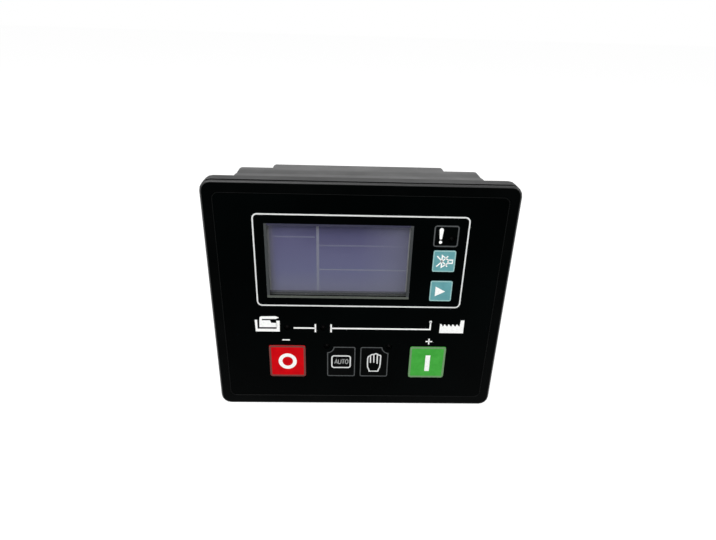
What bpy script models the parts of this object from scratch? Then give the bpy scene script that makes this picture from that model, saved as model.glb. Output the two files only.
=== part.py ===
"""Panel-mounted genset controller, modelled in metres.

The front faces -Y and +Z is up. The origin is the centre of the panel cut-out, on the panel plane,
which the rear face of the flange meets. What lies at -Y stands in front of the panel.
"""
import math

import bmesh
import bpy

# Clearances
SEAT = 0.0003
SLIDE = 0.00015

# Front frame and the groove behind its edge
BEZEL_DEPTH = 0.0098
BEZEL_RADIUS = 0.0050
EDGE_LIP = 0.0014
EDGE_FILLET = 0.0010
GROOVE_WIDTH = 0.0013
GROOVE_DEPTH = 0.0007
SPIGOT_DEPTH = 0.0020
SPIGOT_WALL = 0.0016

# Film, pane and picture cell
FILM_BORDER = 0.0052
FILM_RECESS = 0.0011
FILM_THICKNESS = 0.0004
FILM_RADIUS = 0.0030
WINDOW_WIDTH = 0.0695
WINDOW_HEIGHT = 0.0376
WINDOW_RADIUS = 0.0006
PANE_THICKNESS = 0.0010
PANE_LEDGE = 0.0009
CELL_DEPTH = 0.0047
CELL_THICKNESS = 0.0018
CELL_LAP = 0.0003
CELL_FRAME_RIM = 0.0038

# Keys
KEY_ROW_X = 0.00025
MAIN_KEY_SIZE = 0.0187
MAIN_KEY_GAP = 0.01105
MODE_KEY_GAP = 0.0025
MODE_KEY_WIDTH = 0.0148
MODE_KEY_HEIGHT = 0.0180
MODE_KEY_NOTCH = 0.0033
SIDE_KEY_SIZE = 0.0107
SIDE_KEY_GAP = 0.0049
SIDE_KEY_LIFT = 0.0017
KEY_RADIUS = 0.0009
KEY_PROUD = 0.0003
KEY_EDGE = 0.00025
KEY_FLANGE = 0.0010
KEY_FLANGE_THICKNESS = 0.0010
KEY_TRAVEL = 0.0006

# Margins and gaps between what the front shows
WINDOW_LEFT_MARGIN = 0.0275
WINDOW_TOP_MARGIN = 0.0192
WINDOW_KEY_GAP = 0.01015
SIDE_KEY_MARGIN = 0.02715
LINE_LAMP_DROP = 0.0166
KEY_ROW_DROP = 0.01035
KEY_ROW_MARGIN = 0.01755

# Switches under the keys
SWITCH_SIZE = 0.0060
SWITCH_HEIGHT = 0.0035
PLUNGER_RADIUS = 0.0017
PLUNGER_HOLD = 0.0013

# Lamps
LAMP_RADIUS = 0.0015
LAMP_LENGTH = 0.0053
LAMP_RIM = 0.0004
LAMP_RIM_THICKNESS = 0.0010
LEAD_SIZE = 0.0005
LEAD_PITCH = 0.00127
ALARM_LAMP_SIDE = 0.0026
ALARM_LAMP_LIFT = 0.00555
SUPPLY_LAMP_X = -0.0359
LOAD_LAMP_X = -0.0177

# Circuit boards
BOARD_THICKNESS = 0.0016
BOARD_CLEARANCE = 0.0006
DISPLAY_BOARD_Y = 0.0009
UPPER_FIX_DROP = 0.0115
LOWER_FIX_RISE = 0.00725
POST_RADIUS = 0.0026
STANDOFF_HEIGHT = 0.0034
STANDOFF_RADIUS = 0.0030
BOARD_SCREW_RADIUS = 0.00095
BOARD_SCREW_HEAD = 0.0021
BOARD_SCREW_HEAD_HEIGHT = 0.0014
BOARD_SCREW_LENGTH = 0.0058

# Rear housing
HOUSING_WALL = 0.0022
FLANGE_WALL = 0.0028
FLANGE_FILLET = 0.0005
FLANGE_SIDE_REACH = 0.0092
FLANGE_TOP_REACH = 0.0056
WIDE_RADIUS = 0.0022
WIDE_REAR = 0.0413
WIDE_STEP_Y = 0.0270
WIDE_STEP = 0.0003
WIDE_FILLET = 0.0003
NARROW_SIDE_SETBACK = 0.0167
NARROW_TOP_SETBACK = 0.0001
NARROW_RADIUS = 0.0020
INNER_RADIUS = 0.0010
NARROW_DEPTH = 0.0095
NARROW_FILLET = 0.0003
CLIP_SLOT_Z = 0.0180
CLIP_SLOT_Y = 0.0120
CLIP_SLOT_HEIGHT = 0.0100
CLIP_SLOT_DEPTH = 0.0060
VENT_COUNT = 5
VENT_PITCH = 0.0050
VENT_WIDTH = 0.0022
VENT_LENGTH = 0.0095
LABEL_FIELD_WIDTH = 0.060
LABEL_FIELD_HEIGHT = 0.030
LABEL_FIELD_DEPTH = 0.0004

# Case screws and their towers
CASE_SCREW_INSET = 0.0070
CASE_SCREW_RADIUS = 0.00125
CASE_SCREW_HEAD = 0.0027
CASE_SCREW_HEAD_HEIGHT = 0.0020
TOWER_RADIUS = 0.0036
TOWER_BORE = 0.0019
SCREW_WELL_DEPTH = 0.0026
BOSS_REACH = 0.0039
BOSS_RADIUS = 0.0032

# Heads of both kinds of screw
CROWN_INSET = 0.0005
CROWN_DEPTH = 0.0007
RECESS_RIM = 0.0006
RECESS_WIDTH = 0.0006
RECESS_DEPTH = 0.0010

# Terminal blocks
TERMINAL_PITCH = 0.00508
TERMINAL_MARGIN = 0.0100
TERMINAL_INSET = 0.0131
UPPER_FEWER_COUNT = 2
HEADER_HEIGHT = 0.0090
HEADER_WALL = 0.0008
HEADER_FLOOR = 0.0030
HEADER_END = 0.0010
PIN_SIZE = 0.0010
PIN_INSERTION = 0.0055
PIN_HOLE = 0.0017
PLUG_NOSE_GAP = 0.0009
PLUG_BODY_DEPTH = 0.0110
PLUG_BODY_HEIGHT = 0.0126
PLUG_SHOULDER = 0.0032
PLUG_SHOULDER_DEPTH = 0.0016
WIRE_DROP = 0.0016
WIRE_HOLE = 0.0030
WIRE_HOLE_DEPTH = 0.0080
CLAMP_HOLE_RADIUS = 0.0019
CLAMP_HOLE_DEPTH = 0.0034
CLAMP_SCREW_RADIUS = 0.0016
CLAMP_SCREW_HEIGHT = 0.0024
CLAMP_SLOT_WIDTH = 0.0005
CLAMP_SLOT_DEPTH = 0.0008

# Parts on the main board
PART_MARGIN = 0.0134
RELAY_WIDTH = 0.0190
RELAY_HEIGHT = 0.0155
RELAY_DEPTH = 0.0153
RELAY_PITCH = 0.0235
RELAY_EDGE = 0.0006
TRANSFORMER_RADIUS = 0.0090
TRANSFORMER_BORE = 0.0035
TRANSFORMER_DEPTH = 0.0110
TRANSFORMER_PITCH = 0.0215
TRANSFORMER_ROW_X = -0.0125
TRANSFORMER_EDGE = 0.0009
CAPACITOR_RADIUS = 0.0050
CAPACITOR_HEIGHT = 0.0160
CAPACITOR_EDGE = 0.0006
CAPACITOR_GROOVE = 0.0025
CHIP_SIZE = 0.0140
CHIP_HEIGHT = 0.0014
CHIP_X = -0.0120
CHIP_LIFT = 0.0003
CHIP_LEGS = 4
CHIP_LEG_PITCH = 0.0028
CHIP_LEG_WIDTH = 0.0006
CHIP_LEG_REACH = 0.0014
CHIP_LEG_THICKNESS = 0.0003
LINK_X = 0.0200
LINK_COLUMNS = 6
LINK_PITCH = 0.00254
LINK_BASE = 0.0025
LINK_SOCKET_HEIGHT = 0.0085
LINK_PIN = 0.00064
LINK_HOLE = 0.0013
LINK_INSERTION = 0.0050

# The front is as wide and as high as what it carries with the margins round it
BEZEL_WIDTH = WINDOW_LEFT_MARGIN + WINDOW_WIDTH + WINDOW_KEY_GAP + SIDE_KEY_SIZE + SIDE_KEY_MARGIN
BEZEL_HEIGHT = (WINDOW_TOP_MARGIN + WINDOW_HEIGHT + LINE_LAMP_DROP + KEY_ROW_DROP
                + MAIN_KEY_SIZE + KEY_ROW_MARGIN)
FILM_WIDTH = BEZEL_WIDTH - 2 * FILM_BORDER
FILM_HEIGHT = BEZEL_HEIGHT - 2 * FILM_BORDER
WINDOW_X = WINDOW_LEFT_MARGIN + (WINDOW_WIDTH - BEZEL_WIDTH) / 2
WINDOW_Z = (BEZEL_HEIGHT - WINDOW_HEIGHT) / 2 - WINDOW_TOP_MARGIN
CELL_WIDTH = WINDOW_WIDTH - 2 * PANE_LEDGE + 2 * CELL_LAP
CELL_HEIGHT = WINDOW_HEIGHT - 2 * PANE_LEDGE + 2 * CELL_LAP
SIDE_KEY_X = (BEZEL_WIDTH - SIDE_KEY_SIZE) / 2 - SIDE_KEY_MARGIN
MUTE_Z = WINDOW_Z + SIDE_KEY_LIFT
PAGE_Z = MUTE_Z - SIDE_KEY_SIZE - SIDE_KEY_GAP
KEY_ROW_Z = KEY_ROW_MARGIN + (MAIN_KEY_SIZE - BEZEL_HEIGHT) / 2
MODE_KEY_PITCH = MODE_KEY_WIDTH + MODE_KEY_GAP
AUTO_X = KEY_ROW_X - MODE_KEY_PITCH / 2
MANUAL_X = KEY_ROW_X + MODE_KEY_PITCH / 2
MAIN_KEY_REACH = MODE_KEY_WIDTH / 2 + MAIN_KEY_GAP + MAIN_KEY_SIZE / 2
STOP_X = AUTO_X - MAIN_KEY_REACH
START_X = MANUAL_X + MAIN_KEY_REACH
LINE_LAMP_Z = WINDOW_Z - WINDOW_HEIGHT / 2 - LINE_LAMP_DROP
ALARM_LAMP_X = SIDE_KEY_X + ALARM_LAMP_SIDE
ALARM_LAMP_Z = MUTE_Z + SIDE_KEY_SIZE / 2 + ALARM_LAMP_LIFT

# The boxes behind the panel, and what they hold
WIDE_WIDTH = BEZEL_WIDTH - 2 * FLANGE_SIDE_REACH
WIDE_HEIGHT = BEZEL_HEIGHT - 2 * FLANGE_TOP_REACH
WIDE_REAR_EDGE = WIDE_STEP + WIDE_FILLET
NARROW_WIDTH = WIDE_WIDTH - 2 * (WIDE_REAR_EDGE + NARROW_SIDE_SETBACK)
NARROW_HEIGHT = WIDE_HEIGHT - 2 * (WIDE_REAR_EDGE + NARROW_TOP_SETBACK)
WIDE_INNER_WIDTH = WIDE_WIDTH - 2 * WIDE_STEP - 2 * HOUSING_WALL
WIDE_INNER_HEIGHT = WIDE_HEIGHT - 2 * WIDE_STEP - 2 * HOUSING_WALL
BOARD_WIDTH = WIDE_INNER_WIDTH - 2 * BOARD_CLEARANCE
BOARD_HEIGHT = WIDE_INNER_HEIGHT - 2 * BOARD_CLEARANCE
CASE_SCREW_X = WIDE_WIDTH / 2 - CASE_SCREW_INSET
CASE_SCREW_Z = WIDE_HEIGHT / 2 - CASE_SCREW_INSET
CELL_FRAME_LEFT = WINDOW_X - CELL_WIDTH / 2 - CELL_FRAME_RIM
FIX_X = (WIDE_INNER_WIDTH / 2 - CELL_FRAME_LEFT) / 2
UPPER_FIX_Z = CASE_SCREW_Z - UPPER_FIX_DROP
LOWER_FIX_Z = KEY_ROW_Z + MAIN_KEY_SIZE / 2 + LOWER_FIX_RISE
VENT_X = (NARROW_WIDTH + WIDE_INNER_WIDTH) / 4
TERMINAL_Z = NARROW_HEIGHT / 2 - TERMINAL_INSET
LOWER_WAYS = int((NARROW_WIDTH - 2 * TERMINAL_MARGIN) / TERMINAL_PITCH)
UPPER_WAYS = LOWER_WAYS - UPPER_FEWER_COUNT
RELAY_ROW_Z = PART_MARGIN + (RELAY_HEIGHT - BOARD_HEIGHT) / 2
TRANSFORMER_ROW_Z = BOARD_HEIGHT / 2 - PART_MARGIN - TRANSFORMER_RADIUS
CAPACITOR_X = BOARD_WIDTH / 2 - PART_MARGIN - CAPACITOR_RADIUS
CAPACITOR_Z = BOARD_HEIGHT / 2 - PART_MARGIN - CAPACITOR_RADIUS
FIX_PLACES = [(x, z) for x in (-FIX_X, FIX_X) for z in (LOWER_FIX_Z, UPPER_FIX_Z)]
CASE_SCREW_PLACES = [(x, z) for x in (-CASE_SCREW_X, CASE_SCREW_X) for z in (-CASE_SCREW_Z, CASE_SCREW_Z)]

# Places worked out from the sizes above, along Y
FRONT_Y = -BEZEL_DEPTH
HOUSING_FRONT_Y = FRONT_Y + EDGE_LIP + GROOVE_WIDTH
FRAME_REAR_Y = HOUSING_FRONT_Y - SEAT
RECESS_FLOOR_Y = FRONT_Y + FILM_RECESS
FILM_REAR_Y = RECESS_FLOOR_Y - SEAT
FILM_FRONT_Y = FILM_REAR_Y - FILM_THICKNESS
PANE_REAR_Y = FILM_FRONT_Y + PANE_THICKNESS
CELL_FRONT_Y = FILM_FRONT_Y + CELL_DEPTH
CELL_REAR_Y = CELL_FRONT_Y + CELL_THICKNESS
BOARD_FRONT_SEAT_Y = DISPLAY_BOARD_Y - SEAT
DISPLAY_BOARD_REAR_Y = DISPLAY_BOARD_Y + BOARD_THICKNESS
KEY_FRONT_Y = FILM_FRONT_Y - KEY_PROUD
KEY_FLANGE_Y = FRAME_REAR_Y + SEAT
KEY_REAR_Y = KEY_FLANGE_Y + KEY_FLANGE_THICKNESS
SWITCH_FRONT_Y = BOARD_FRONT_SEAT_Y - SWITCH_HEIGHT
PLUNGER_REAR_Y = SWITCH_FRONT_Y + PLUNGER_HOLD
LAMP_FRONT_Y = FILM_REAR_Y + SLIDE
WIDE_INNER_Y = WIDE_REAR - HOUSING_WALL
NARROW_REAR = WIDE_REAR + NARROW_DEPTH
NARROW_INNER_Y = NARROW_REAR - HOUSING_WALL
STANDOFF_Y = WIDE_INNER_Y - STANDOFF_HEIGHT
MAIN_BOARD_REAR_Y = STANDOFF_Y - SEAT
MAIN_BOARD_Y = MAIN_BOARD_REAR_Y - BOARD_THICKNESS
MAIN_FRONT_SEAT_Y = MAIN_BOARD_Y - SEAT
HEADER_Y = MAIN_BOARD_REAR_Y + SEAT
HEADER_MOUTH_Y = NARROW_INNER_Y - SEAT
HEADER_FLOOR_Y = HEADER_Y + HEADER_FLOOR
PLUG_BODY_Y = NARROW_REAR + SEAT
PLUG_NOSE_Y = HEADER_FLOOR_Y + PLUG_NOSE_GAP
BOSS_Y = FRAME_REAR_Y + BOSS_REACH

# How finely round forms are divided
ARC_STEPS = 4
KEY_ARC_STEPS = 3
WINDOW_ARC_STEPS = 2
FILLET_STEPS = 3
EDGE_STEPS = 4
DOME_STEPS = 3
CAN_SIDES = 14
RING_SIDES = 18
HOLE_SIDES = 12
SCREW_SIDES = 8
LAMP_SIDES = 10
CLAMP_SIDES = 8
SMOOTH_ANGLE = 35


def clear_scene():
    for old in list(bpy.data.objects):
        bpy.data.objects.remove(old, do_unlink=True)


def make_finish(name, colour, roughness, metallic=0.0, alpha=1.0):
    finish = bpy.data.materials.new(name)
    finish.use_nodes = True
    shader = finish.node_tree.nodes["Principled BSDF"]
    shader.inputs["Base Color"].default_value = (*colour, 1.0)
    shader.inputs["Roughness"].default_value = roughness
    shader.inputs["Metallic"].default_value = metallic
    shader.inputs["Alpha"].default_value = alpha
    return finish


def circle(radius, sides=HOLE_SIDES, x=0.0, z=0.0):
    turns = [2 * math.pi * (step + 0.5) / sides for step in range(sides)]
    return [(x + radius * math.cos(turn), z + radius * math.sin(turn)) for turn in turns]


def rounded_rect(width, height, radius, x=0.0, z=0.0, steps=ARC_STEPS):
    """Outline in X and Z, counter-clockwise, with an arc at each corner."""
    points = []
    corners = [(1, 1, 0), (-1, 1, 1), (-1, -1, 2), (1, -1, 3)]
    for side_x, side_z, quarter in corners:
        middle_x = x + side_x * (width / 2 - radius)
        middle_z = z + side_z * (height / 2 - radius)
        for step in range(steps + 1):
            turn = math.pi / 2 * (quarter + step / steps)
            points.append((middle_x + radius * math.cos(turn), middle_z + radius * math.sin(turn)))
    return points


def notched_outline(grow, notch_side):
    """Mode key outline with a hollow arc round the lamp at one upper corner."""
    half_width = MODE_KEY_WIDTH / 2 + grow
    half_height = MODE_KEY_HEIGHT / 2 + grow
    radius = KEY_RADIUS + grow
    notch = MODE_KEY_NOTCH - grow
    lamp_x = MODE_KEY_WIDTH / 2
    lamp_z = MODE_KEY_HEIGHT / 2
    points = []
    start = math.pi + math.asin(-grow / notch) if grow else math.pi
    end = 1.5 * math.pi - math.asin(-grow / notch) if grow else 1.5 * math.pi
    steps = 2 * KEY_ARC_STEPS
    for step in range(steps + 1):
        turn = end + (start - end) * step / steps
        points.append((lamp_x + notch * math.cos(turn), lamp_z + notch * math.sin(turn)))
    for side_x, side_z, quarter in [(-1, 1, 1), (-1, -1, 2), (1, -1, 3)]:
        middle_x = side_x * (half_width - radius)
        middle_z = side_z * (half_height - radius)
        for step in range(KEY_ARC_STEPS + 1):
            turn = math.pi / 2 * (quarter + step / KEY_ARC_STEPS)
            points.append((middle_x + radius * math.cos(turn), middle_z + radius * math.sin(turn)))
    return [(notch_side * across, up) for across, up in points]


def shifted(outline, x, z):
    return [(across + x, up + z) for across, up in outline]


def mesh_object(name, points, faces):
    """One object whose faces all point out of the closed body they bound."""
    mesh = bpy.data.meshes.new(name)
    mesh.from_pydata(points, [], faces)
    work = bmesh.new()
    work.from_mesh(mesh)
    bmesh.ops.recalc_face_normals(work, faces=work.faces[:])
    work.to_mesh(mesh)
    work.free()
    made = bpy.data.objects.new(name, mesh)
    bpy.context.scene.collection.objects.link(made)
    return made


def loft(name, sections):
    """Closed body through outlines of equal length, each at its own Y."""
    count = len(sections[0][1])
    points = [(x, y, z) for y, outline in sections for x, z in outline]
    faces = [list(range(count))]
    for ring in range(len(sections) - 1):
        base = ring * count
        for index in range(count):
            after = (index + 1) % count
            faces.append([base + index, base + after, base + count + after, base + count + index])
    faces.append([len(points) - 1 - index for index in range(count)])
    return mesh_object(name, points, faces)


def prism(name, outline, front, rear):
    return loft(name, [(front, outline), (rear, outline)])


def block(name, width, height, front, rear, x=0.0, z=0.0):
    half_width = width / 2
    half_height = height / 2
    outline = [(x + half_width, z + half_height), (x - half_width, z + half_height),
               (x - half_width, z - half_height), (x + half_width, z - half_height)]
    return prism(name, outline, front, rear)


def turned(name, profile, sides=HOLE_SIDES, x=0.0, z=0.0):
    """Body turned about a line along Y, from (radius, y) points."""
    return loft(name, [(y, circle(radius, sides, x, z)) for radius, y in profile])


def extruded_along_x(name, profile, left, right):
    """Body with a constant (y, z) section between two X places."""
    count = len(profile)
    points = [(left, y, z) for y, z in profile] + [(right, y, z) for y, z in profile]
    faces = [list(range(count)), [2 * count - 1 - index for index in range(count)]]
    for index in range(count):
        after = (index + 1) % count
        faces.append([index, after, count + after, count + index])
    return mesh_object(name, points, faces)


def gathered(name, pieces):
    """Put separate bodies into one mesh object."""
    work = bmesh.new()
    for piece in pieces:
        work.from_mesh(piece.data)
        bpy.data.objects.remove(piece, do_unlink=True)
    mesh = bpy.data.meshes.new(name)
    work.to_mesh(mesh)
    work.free()
    made = bpy.data.objects.new(name, mesh)
    bpy.context.scene.collection.objects.link(made)
    return made


def combine(body, pieces, operation):
    """Fuse or cut a body with pieces, and leave one plain mesh."""
    tool = gathered("tool", pieces)
    step = body.modifiers.new("combine", "BOOLEAN")
    step.object = tool
    step.operation = operation
    step.solver = "EXACT"
    step.use_self = operation == "UNION"
    graph = bpy.context.evaluated_depsgraph_get()
    mesh = bpy.data.meshes.new_from_object(body.evaluated_get(graph))
    body.modifiers.clear()
    body.data = mesh
    bpy.data.objects.remove(tool, do_unlink=True)
    return body


def cut(body, pieces):
    return combine(body, pieces, "DIFFERENCE")


def fuse(body, pieces):
    return combine(body, pieces, "UNION")


def finished(body, name, finish, smooth=True):
    """Name a body, give it its material and shade its round faces smooth."""
    body.name = name
    body.data.name = name
    body.data.materials.clear()
    body.data.materials.append(finish)
    if smooth:
        body.data.shade_smooth()
        body.data.set_sharp_from_angle(angle=math.radians(SMOOTH_ANGLE))
    return body


def copy_at(original, name, x, z, parent=None):
    """Another object of the same mesh, moved in X and Z."""
    twin = bpy.data.objects.new(name, original.data)
    bpy.context.scene.collection.objects.link(twin)
    twin.parent = parent
    twin.location = (x, 0.0, z)
    return twin


def filleted_sections(outline_at, front, rear, radius):
    """Straight wall from front to rear whose rear edge is rounded inwards."""
    sections = [(front, outline_at(0.0))]
    for step in range(FILLET_STEPS + 1):
        turn = math.pi / 2 * step / FILLET_STEPS
        inset = radius * (1 - math.cos(turn))
        sections.append((rear - radius + radius * math.sin(turn), outline_at(inset)))
    return sections


def bezel_outline(inset):
    return rounded_rect(BEZEL_WIDTH - 2 * inset, BEZEL_HEIGHT - 2 * inset, BEZEL_RADIUS - inset)


def film_outline(inset):
    return rounded_rect(FILM_WIDTH - 2 * inset, FILM_HEIGHT - 2 * inset, FILM_RADIUS - inset)


def window_outline(grow):
    width = WINDOW_WIDTH + 2 * grow
    height = WINDOW_HEIGHT + 2 * grow
    return rounded_rect(width, height, WINDOW_RADIUS, WINDOW_X, WINDOW_Z, WINDOW_ARC_STEPS)


def square_key_outline(size, grow):
    return rounded_rect(size + 2 * grow, size + 2 * grow, KEY_RADIUS + grow, steps=KEY_ARC_STEPS)


# Each key: name, X, Z and its outline, which takes how far it grows
KEYS = [
    ("stop", STOP_X, KEY_ROW_Z, lambda grow: square_key_outline(MAIN_KEY_SIZE, grow)),
    ("start", START_X, KEY_ROW_Z, lambda grow: square_key_outline(MAIN_KEY_SIZE, grow)),
    ("auto", AUTO_X, KEY_ROW_Z, lambda grow: notched_outline(grow, -1)),
    ("manual", MANUAL_X, KEY_ROW_Z, lambda grow: notched_outline(grow, 1)),
    ("mute", SIDE_KEY_X, MUTE_Z, lambda grow: square_key_outline(SIDE_KEY_SIZE, grow)),
    ("page", SIDE_KEY_X, PAGE_Z, lambda grow: square_key_outline(SIDE_KEY_SIZE, grow)),
]

# Each lamp: name, X and Z
LAMPS = [
    ("alarm", ALARM_LAMP_X, ALARM_LAMP_Z),
    ("supply", SUPPLY_LAMP_X, LINE_LAMP_Z),
    ("load", LOAD_LAMP_X, LINE_LAMP_Z),
    ("auto", AUTO_X - MODE_KEY_WIDTH / 2, KEY_ROW_Z + MODE_KEY_HEIGHT / 2),
    ("manual", MANUAL_X + MODE_KEY_WIDTH / 2, KEY_ROW_Z + MODE_KEY_HEIGHT / 2),
]


def make_front_frame(finish):
    """Moulded front with a rounded edge, a neck, a spigot, bosses and posts."""
    sections = []
    for step in range(EDGE_STEPS + 1):
        turn = math.pi / 2 * step / EDGE_STEPS
        inset = EDGE_FILLET * (1 - math.sin(turn))
        sections.append((FRONT_Y + EDGE_FILLET * (1 - math.cos(turn)), bezel_outline(inset)))
    sections.append((FRONT_Y + EDGE_LIP, bezel_outline(0.0)))
    sections.append((FRONT_Y + EDGE_LIP, bezel_outline(GROOVE_DEPTH)))
    sections.append((FRAME_REAR_Y, bezel_outline(GROOVE_DEPTH)))
    spigot_inset = FLANGE_WALL + SEAT
    sections.append((FRAME_REAR_Y, bezel_outline(spigot_inset)))
    sections.append((FRAME_REAR_Y + SPIGOT_DEPTH, bezel_outline(spigot_inset)))
    frame = loft("front_frame", sections)
    inner = bezel_outline(spigot_inset + SPIGOT_WALL)
    cut(frame, [prism("inside", inner, FRAME_REAR_Y, FRAME_REAR_Y + 2 * SPIGOT_DEPTH)])

    root = FRAME_REAR_Y - SEAT
    bosses = [turned("boss", [(BOSS_RADIUS, root), (BOSS_RADIUS, BOSS_Y)], x=x, z=z)
              for x, z in CASE_SCREW_PLACES]
    posts = [turned("post", [(POST_RADIUS, root), (POST_RADIUS, BOARD_FRONT_SEAT_Y)], x=x, z=z)
             for x, z in FIX_PLACES]
    fuse(frame, bosses + posts)

    through_front = RECESS_FLOOR_Y - SEAT
    through_rear = FRAME_REAR_Y + SEAT
    openings = [prism("display", window_outline(-PANE_LEDGE), through_front, through_rear)]
    for name, x, z, outline in KEYS:
        openings.append(prism(name, shifted(outline(SLIDE), x, z), through_front, through_rear))
    for name, x, z in LAMPS:
        openings.append(prism(name, circle(LAMP_RADIUS + SEAT, x=x, z=z), through_front, through_rear))
    for x, z in CASE_SCREW_PLACES:
        pilot = circle(CASE_SCREW_RADIUS + SEAT, x=x, z=z)
        openings.append(prism("pilot", pilot, FRAME_REAR_Y, BOSS_Y + SEAT))
    for x, z in FIX_PLACES:
        pilot = circle(BOARD_SCREW_RADIUS + SEAT, x=x, z=z)
        openings.append(prism("pilot", pilot, DISPLAY_BOARD_REAR_Y - BOARD_SCREW_LENGTH, DISPLAY_BOARD_Y))
    cut(frame, openings)
    pocket = prism("pocket", window_outline(SLIDE), FRONT_Y - SEAT, PANE_REAR_Y + SEAT)
    recess = prism("recess", film_outline(0.0), FRONT_Y - FILM_RECESS, RECESS_FLOOR_Y)
    cut(frame, [recess])
    cut(frame, [pocket])
    return finished(frame, "front_frame", finish)


def make_front_film(finish):
    film = prism("front_film", film_outline(SLIDE), FILM_FRONT_Y, FILM_REAR_Y)
    ahead = FILM_FRONT_Y - SEAT
    behind = FILM_REAR_Y + SEAT
    openings = [prism("display", window_outline(SLIDE), ahead, behind)]
    for name, x, z, outline in KEYS:
        openings.append(prism(name, shifted(outline(SLIDE), x, z), ahead, behind))
    for name, x, z in LAMPS:
        openings.append(prism(name, circle(LAMP_RADIUS + SLIDE, x=x, z=z), ahead, behind))
    cut(film, openings)
    return finished(film, "front_film", finish, smooth=False)


def make_display(pane_finish, cell_finish, frame_finish, light_finish):
    """Pane in the film's opening, and the picture cell on its backlight in a frame."""
    pane = prism("display_window", window_outline(0.0), FILM_FRONT_Y, PANE_REAR_Y)
    finished(pane, "display_window", pane_finish, smooth=False)

    frame_outline = rounded_rect(CELL_WIDTH + 2 * CELL_FRAME_RIM, CELL_HEIGHT + 2 * CELL_FRAME_RIM,
                                 WINDOW_RADIUS, WINDOW_X, WINDOW_Z, WINDOW_ARC_STEPS)
    frame = prism("lcd_frame", frame_outline, FRAME_REAR_Y + SEAT, BOARD_FRONT_SEAT_Y)
    hollow = block("hollow", CELL_WIDTH, CELL_HEIGHT, FRAME_REAR_Y, DISPLAY_BOARD_Y, WINDOW_X, WINDOW_Z)
    cut(frame, [hollow])
    finished(frame, "lcd_frame", frame_finish, smooth=False)

    width = CELL_WIDTH - 2 * SEAT
    height = CELL_HEIGHT - 2 * SEAT
    cell = block("lcd_glass", width, height, CELL_FRONT_Y, CELL_REAR_Y, WINDOW_X, WINDOW_Z)
    finished(cell, "lcd_glass", cell_finish, smooth=False)
    light = block("backlight", width, height, CELL_REAR_Y + SEAT, BOARD_FRONT_SEAT_Y, WINDOW_X, WINDOW_Z)
    finished(light, "backlight", light_finish, smooth=False)


def make_keys(finishes, plunger_finish):
    """Each cap and its plunger hang on an empty that lies on the key's axis of travel."""
    for name, x, z, outline in KEYS:
        axis = bpy.data.objects.new(name + "_axis", None)
        axis.location = (x, 0.0, z)
        bpy.context.scene.collection.objects.link(axis)
        cap = loft(name + "_key", [
            (KEY_FRONT_Y, outline(-KEY_EDGE)),
            (KEY_FRONT_Y + KEY_EDGE, outline(0.0)),
            (KEY_FLANGE_Y, outline(0.0)),
            (KEY_FLANGE_Y, outline(KEY_FLANGE)),
            (KEY_REAR_Y, outline(KEY_FLANGE)),
        ])
        finished(cap, name + "_key", finishes[name])
        cap.parent = axis
        plunger = turned(name + "_plunger", [
            (PLUNGER_RADIUS, KEY_REAR_Y + SEAT),
            (PLUNGER_RADIUS, PLUNGER_REAR_Y),
        ])
        finished(plunger, name + "_plunger", plunger_finish)
        plunger.parent = axis


def make_switches(finish):
    """Each switch has a bore in which its plunger travels."""
    body = block("switch", SWITCH_SIZE, SWITCH_SIZE, SWITCH_FRONT_Y, BOARD_FRONT_SEAT_Y)
    bore = prism("bore", circle(PLUNGER_RADIUS + SEAT), SWITCH_FRONT_Y - SEAT,
                 PLUNGER_REAR_Y + KEY_TRAVEL + SEAT)
    cut(body, [bore])
    finished(body, "switch", finish)
    for name, x, z, _ in KEYS:
        copy_at(body, name + "_switch", x, z)
    bpy.data.objects.remove(body, do_unlink=True)


def make_lamps(finish):
    """Round lamps whose domes stand in the frame's holes, on leads that reach the board."""
    shoulder = LAMP_FRONT_Y + LAMP_RADIUS
    rear = LAMP_FRONT_Y + LAMP_LENGTH
    profile = []
    for step in range(DOME_STEPS):
        turn = math.pi / 2 * (step + 0.5) / DOME_STEPS
        profile.append((LAMP_RADIUS * math.sin(turn), shoulder - LAMP_RADIUS * math.cos(turn)))
    profile.append((LAMP_RADIUS, shoulder))
    profile.append((LAMP_RADIUS, rear - LAMP_RIM_THICKNESS))
    profile.append((LAMP_RADIUS + LAMP_RIM, rear - LAMP_RIM_THICKNESS))
    profile.append((LAMP_RADIUS + LAMP_RIM, rear))
    lamp = turned("lamp", profile, LAMP_SIDES)
    leads = [block("lead", LEAD_SIZE, LEAD_SIZE, rear - LEAD_SIZE, BOARD_FRONT_SEAT_Y, side * LEAD_PITCH)
             for side in (-1, 1)]
    fuse(lamp, leads)
    finished(lamp, "lamp", finish)
    for name, x, z in LAMPS:
        copy_at(lamp, name + "_lamp", x, z)
    bpy.data.objects.remove(lamp, do_unlink=True)


def board_outline():
    """Rectangle whose corners are cut out round the screw towers."""
    half_width = BOARD_WIDTH / 2
    half_height = BOARD_HEIGHT / 2
    inner_x = CASE_SCREW_X - TOWER_RADIUS - BOARD_CLEARANCE
    inner_z = CASE_SCREW_Z - TOWER_RADIUS - BOARD_CLEARANCE
    quarter = [(half_width, inner_z), (inner_x, inner_z), (inner_x, half_height)]
    points = list(quarter)
    points += [(-x, z) for x, z in reversed(quarter)]
    points += [(-x, -z) for x, z in quarter]
    points += [(x, -z) for x, z in reversed(quarter)]
    return points


def make_boards(finish):
    for name, front in (("display_board", DISPLAY_BOARD_Y), ("main_board", MAIN_BOARD_Y)):
        rear = front + BOARD_THICKNESS
        board = prism(name, board_outline(), front, rear)
        holes = [prism("hole", circle(BOARD_SCREW_RADIUS + SEAT, x=x, z=z), front - SEAT, rear + SEAT)
                 for x, z in FIX_PLACES]
        cut(board, holes)
        finished(board, name, finish, smooth=False)


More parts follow.
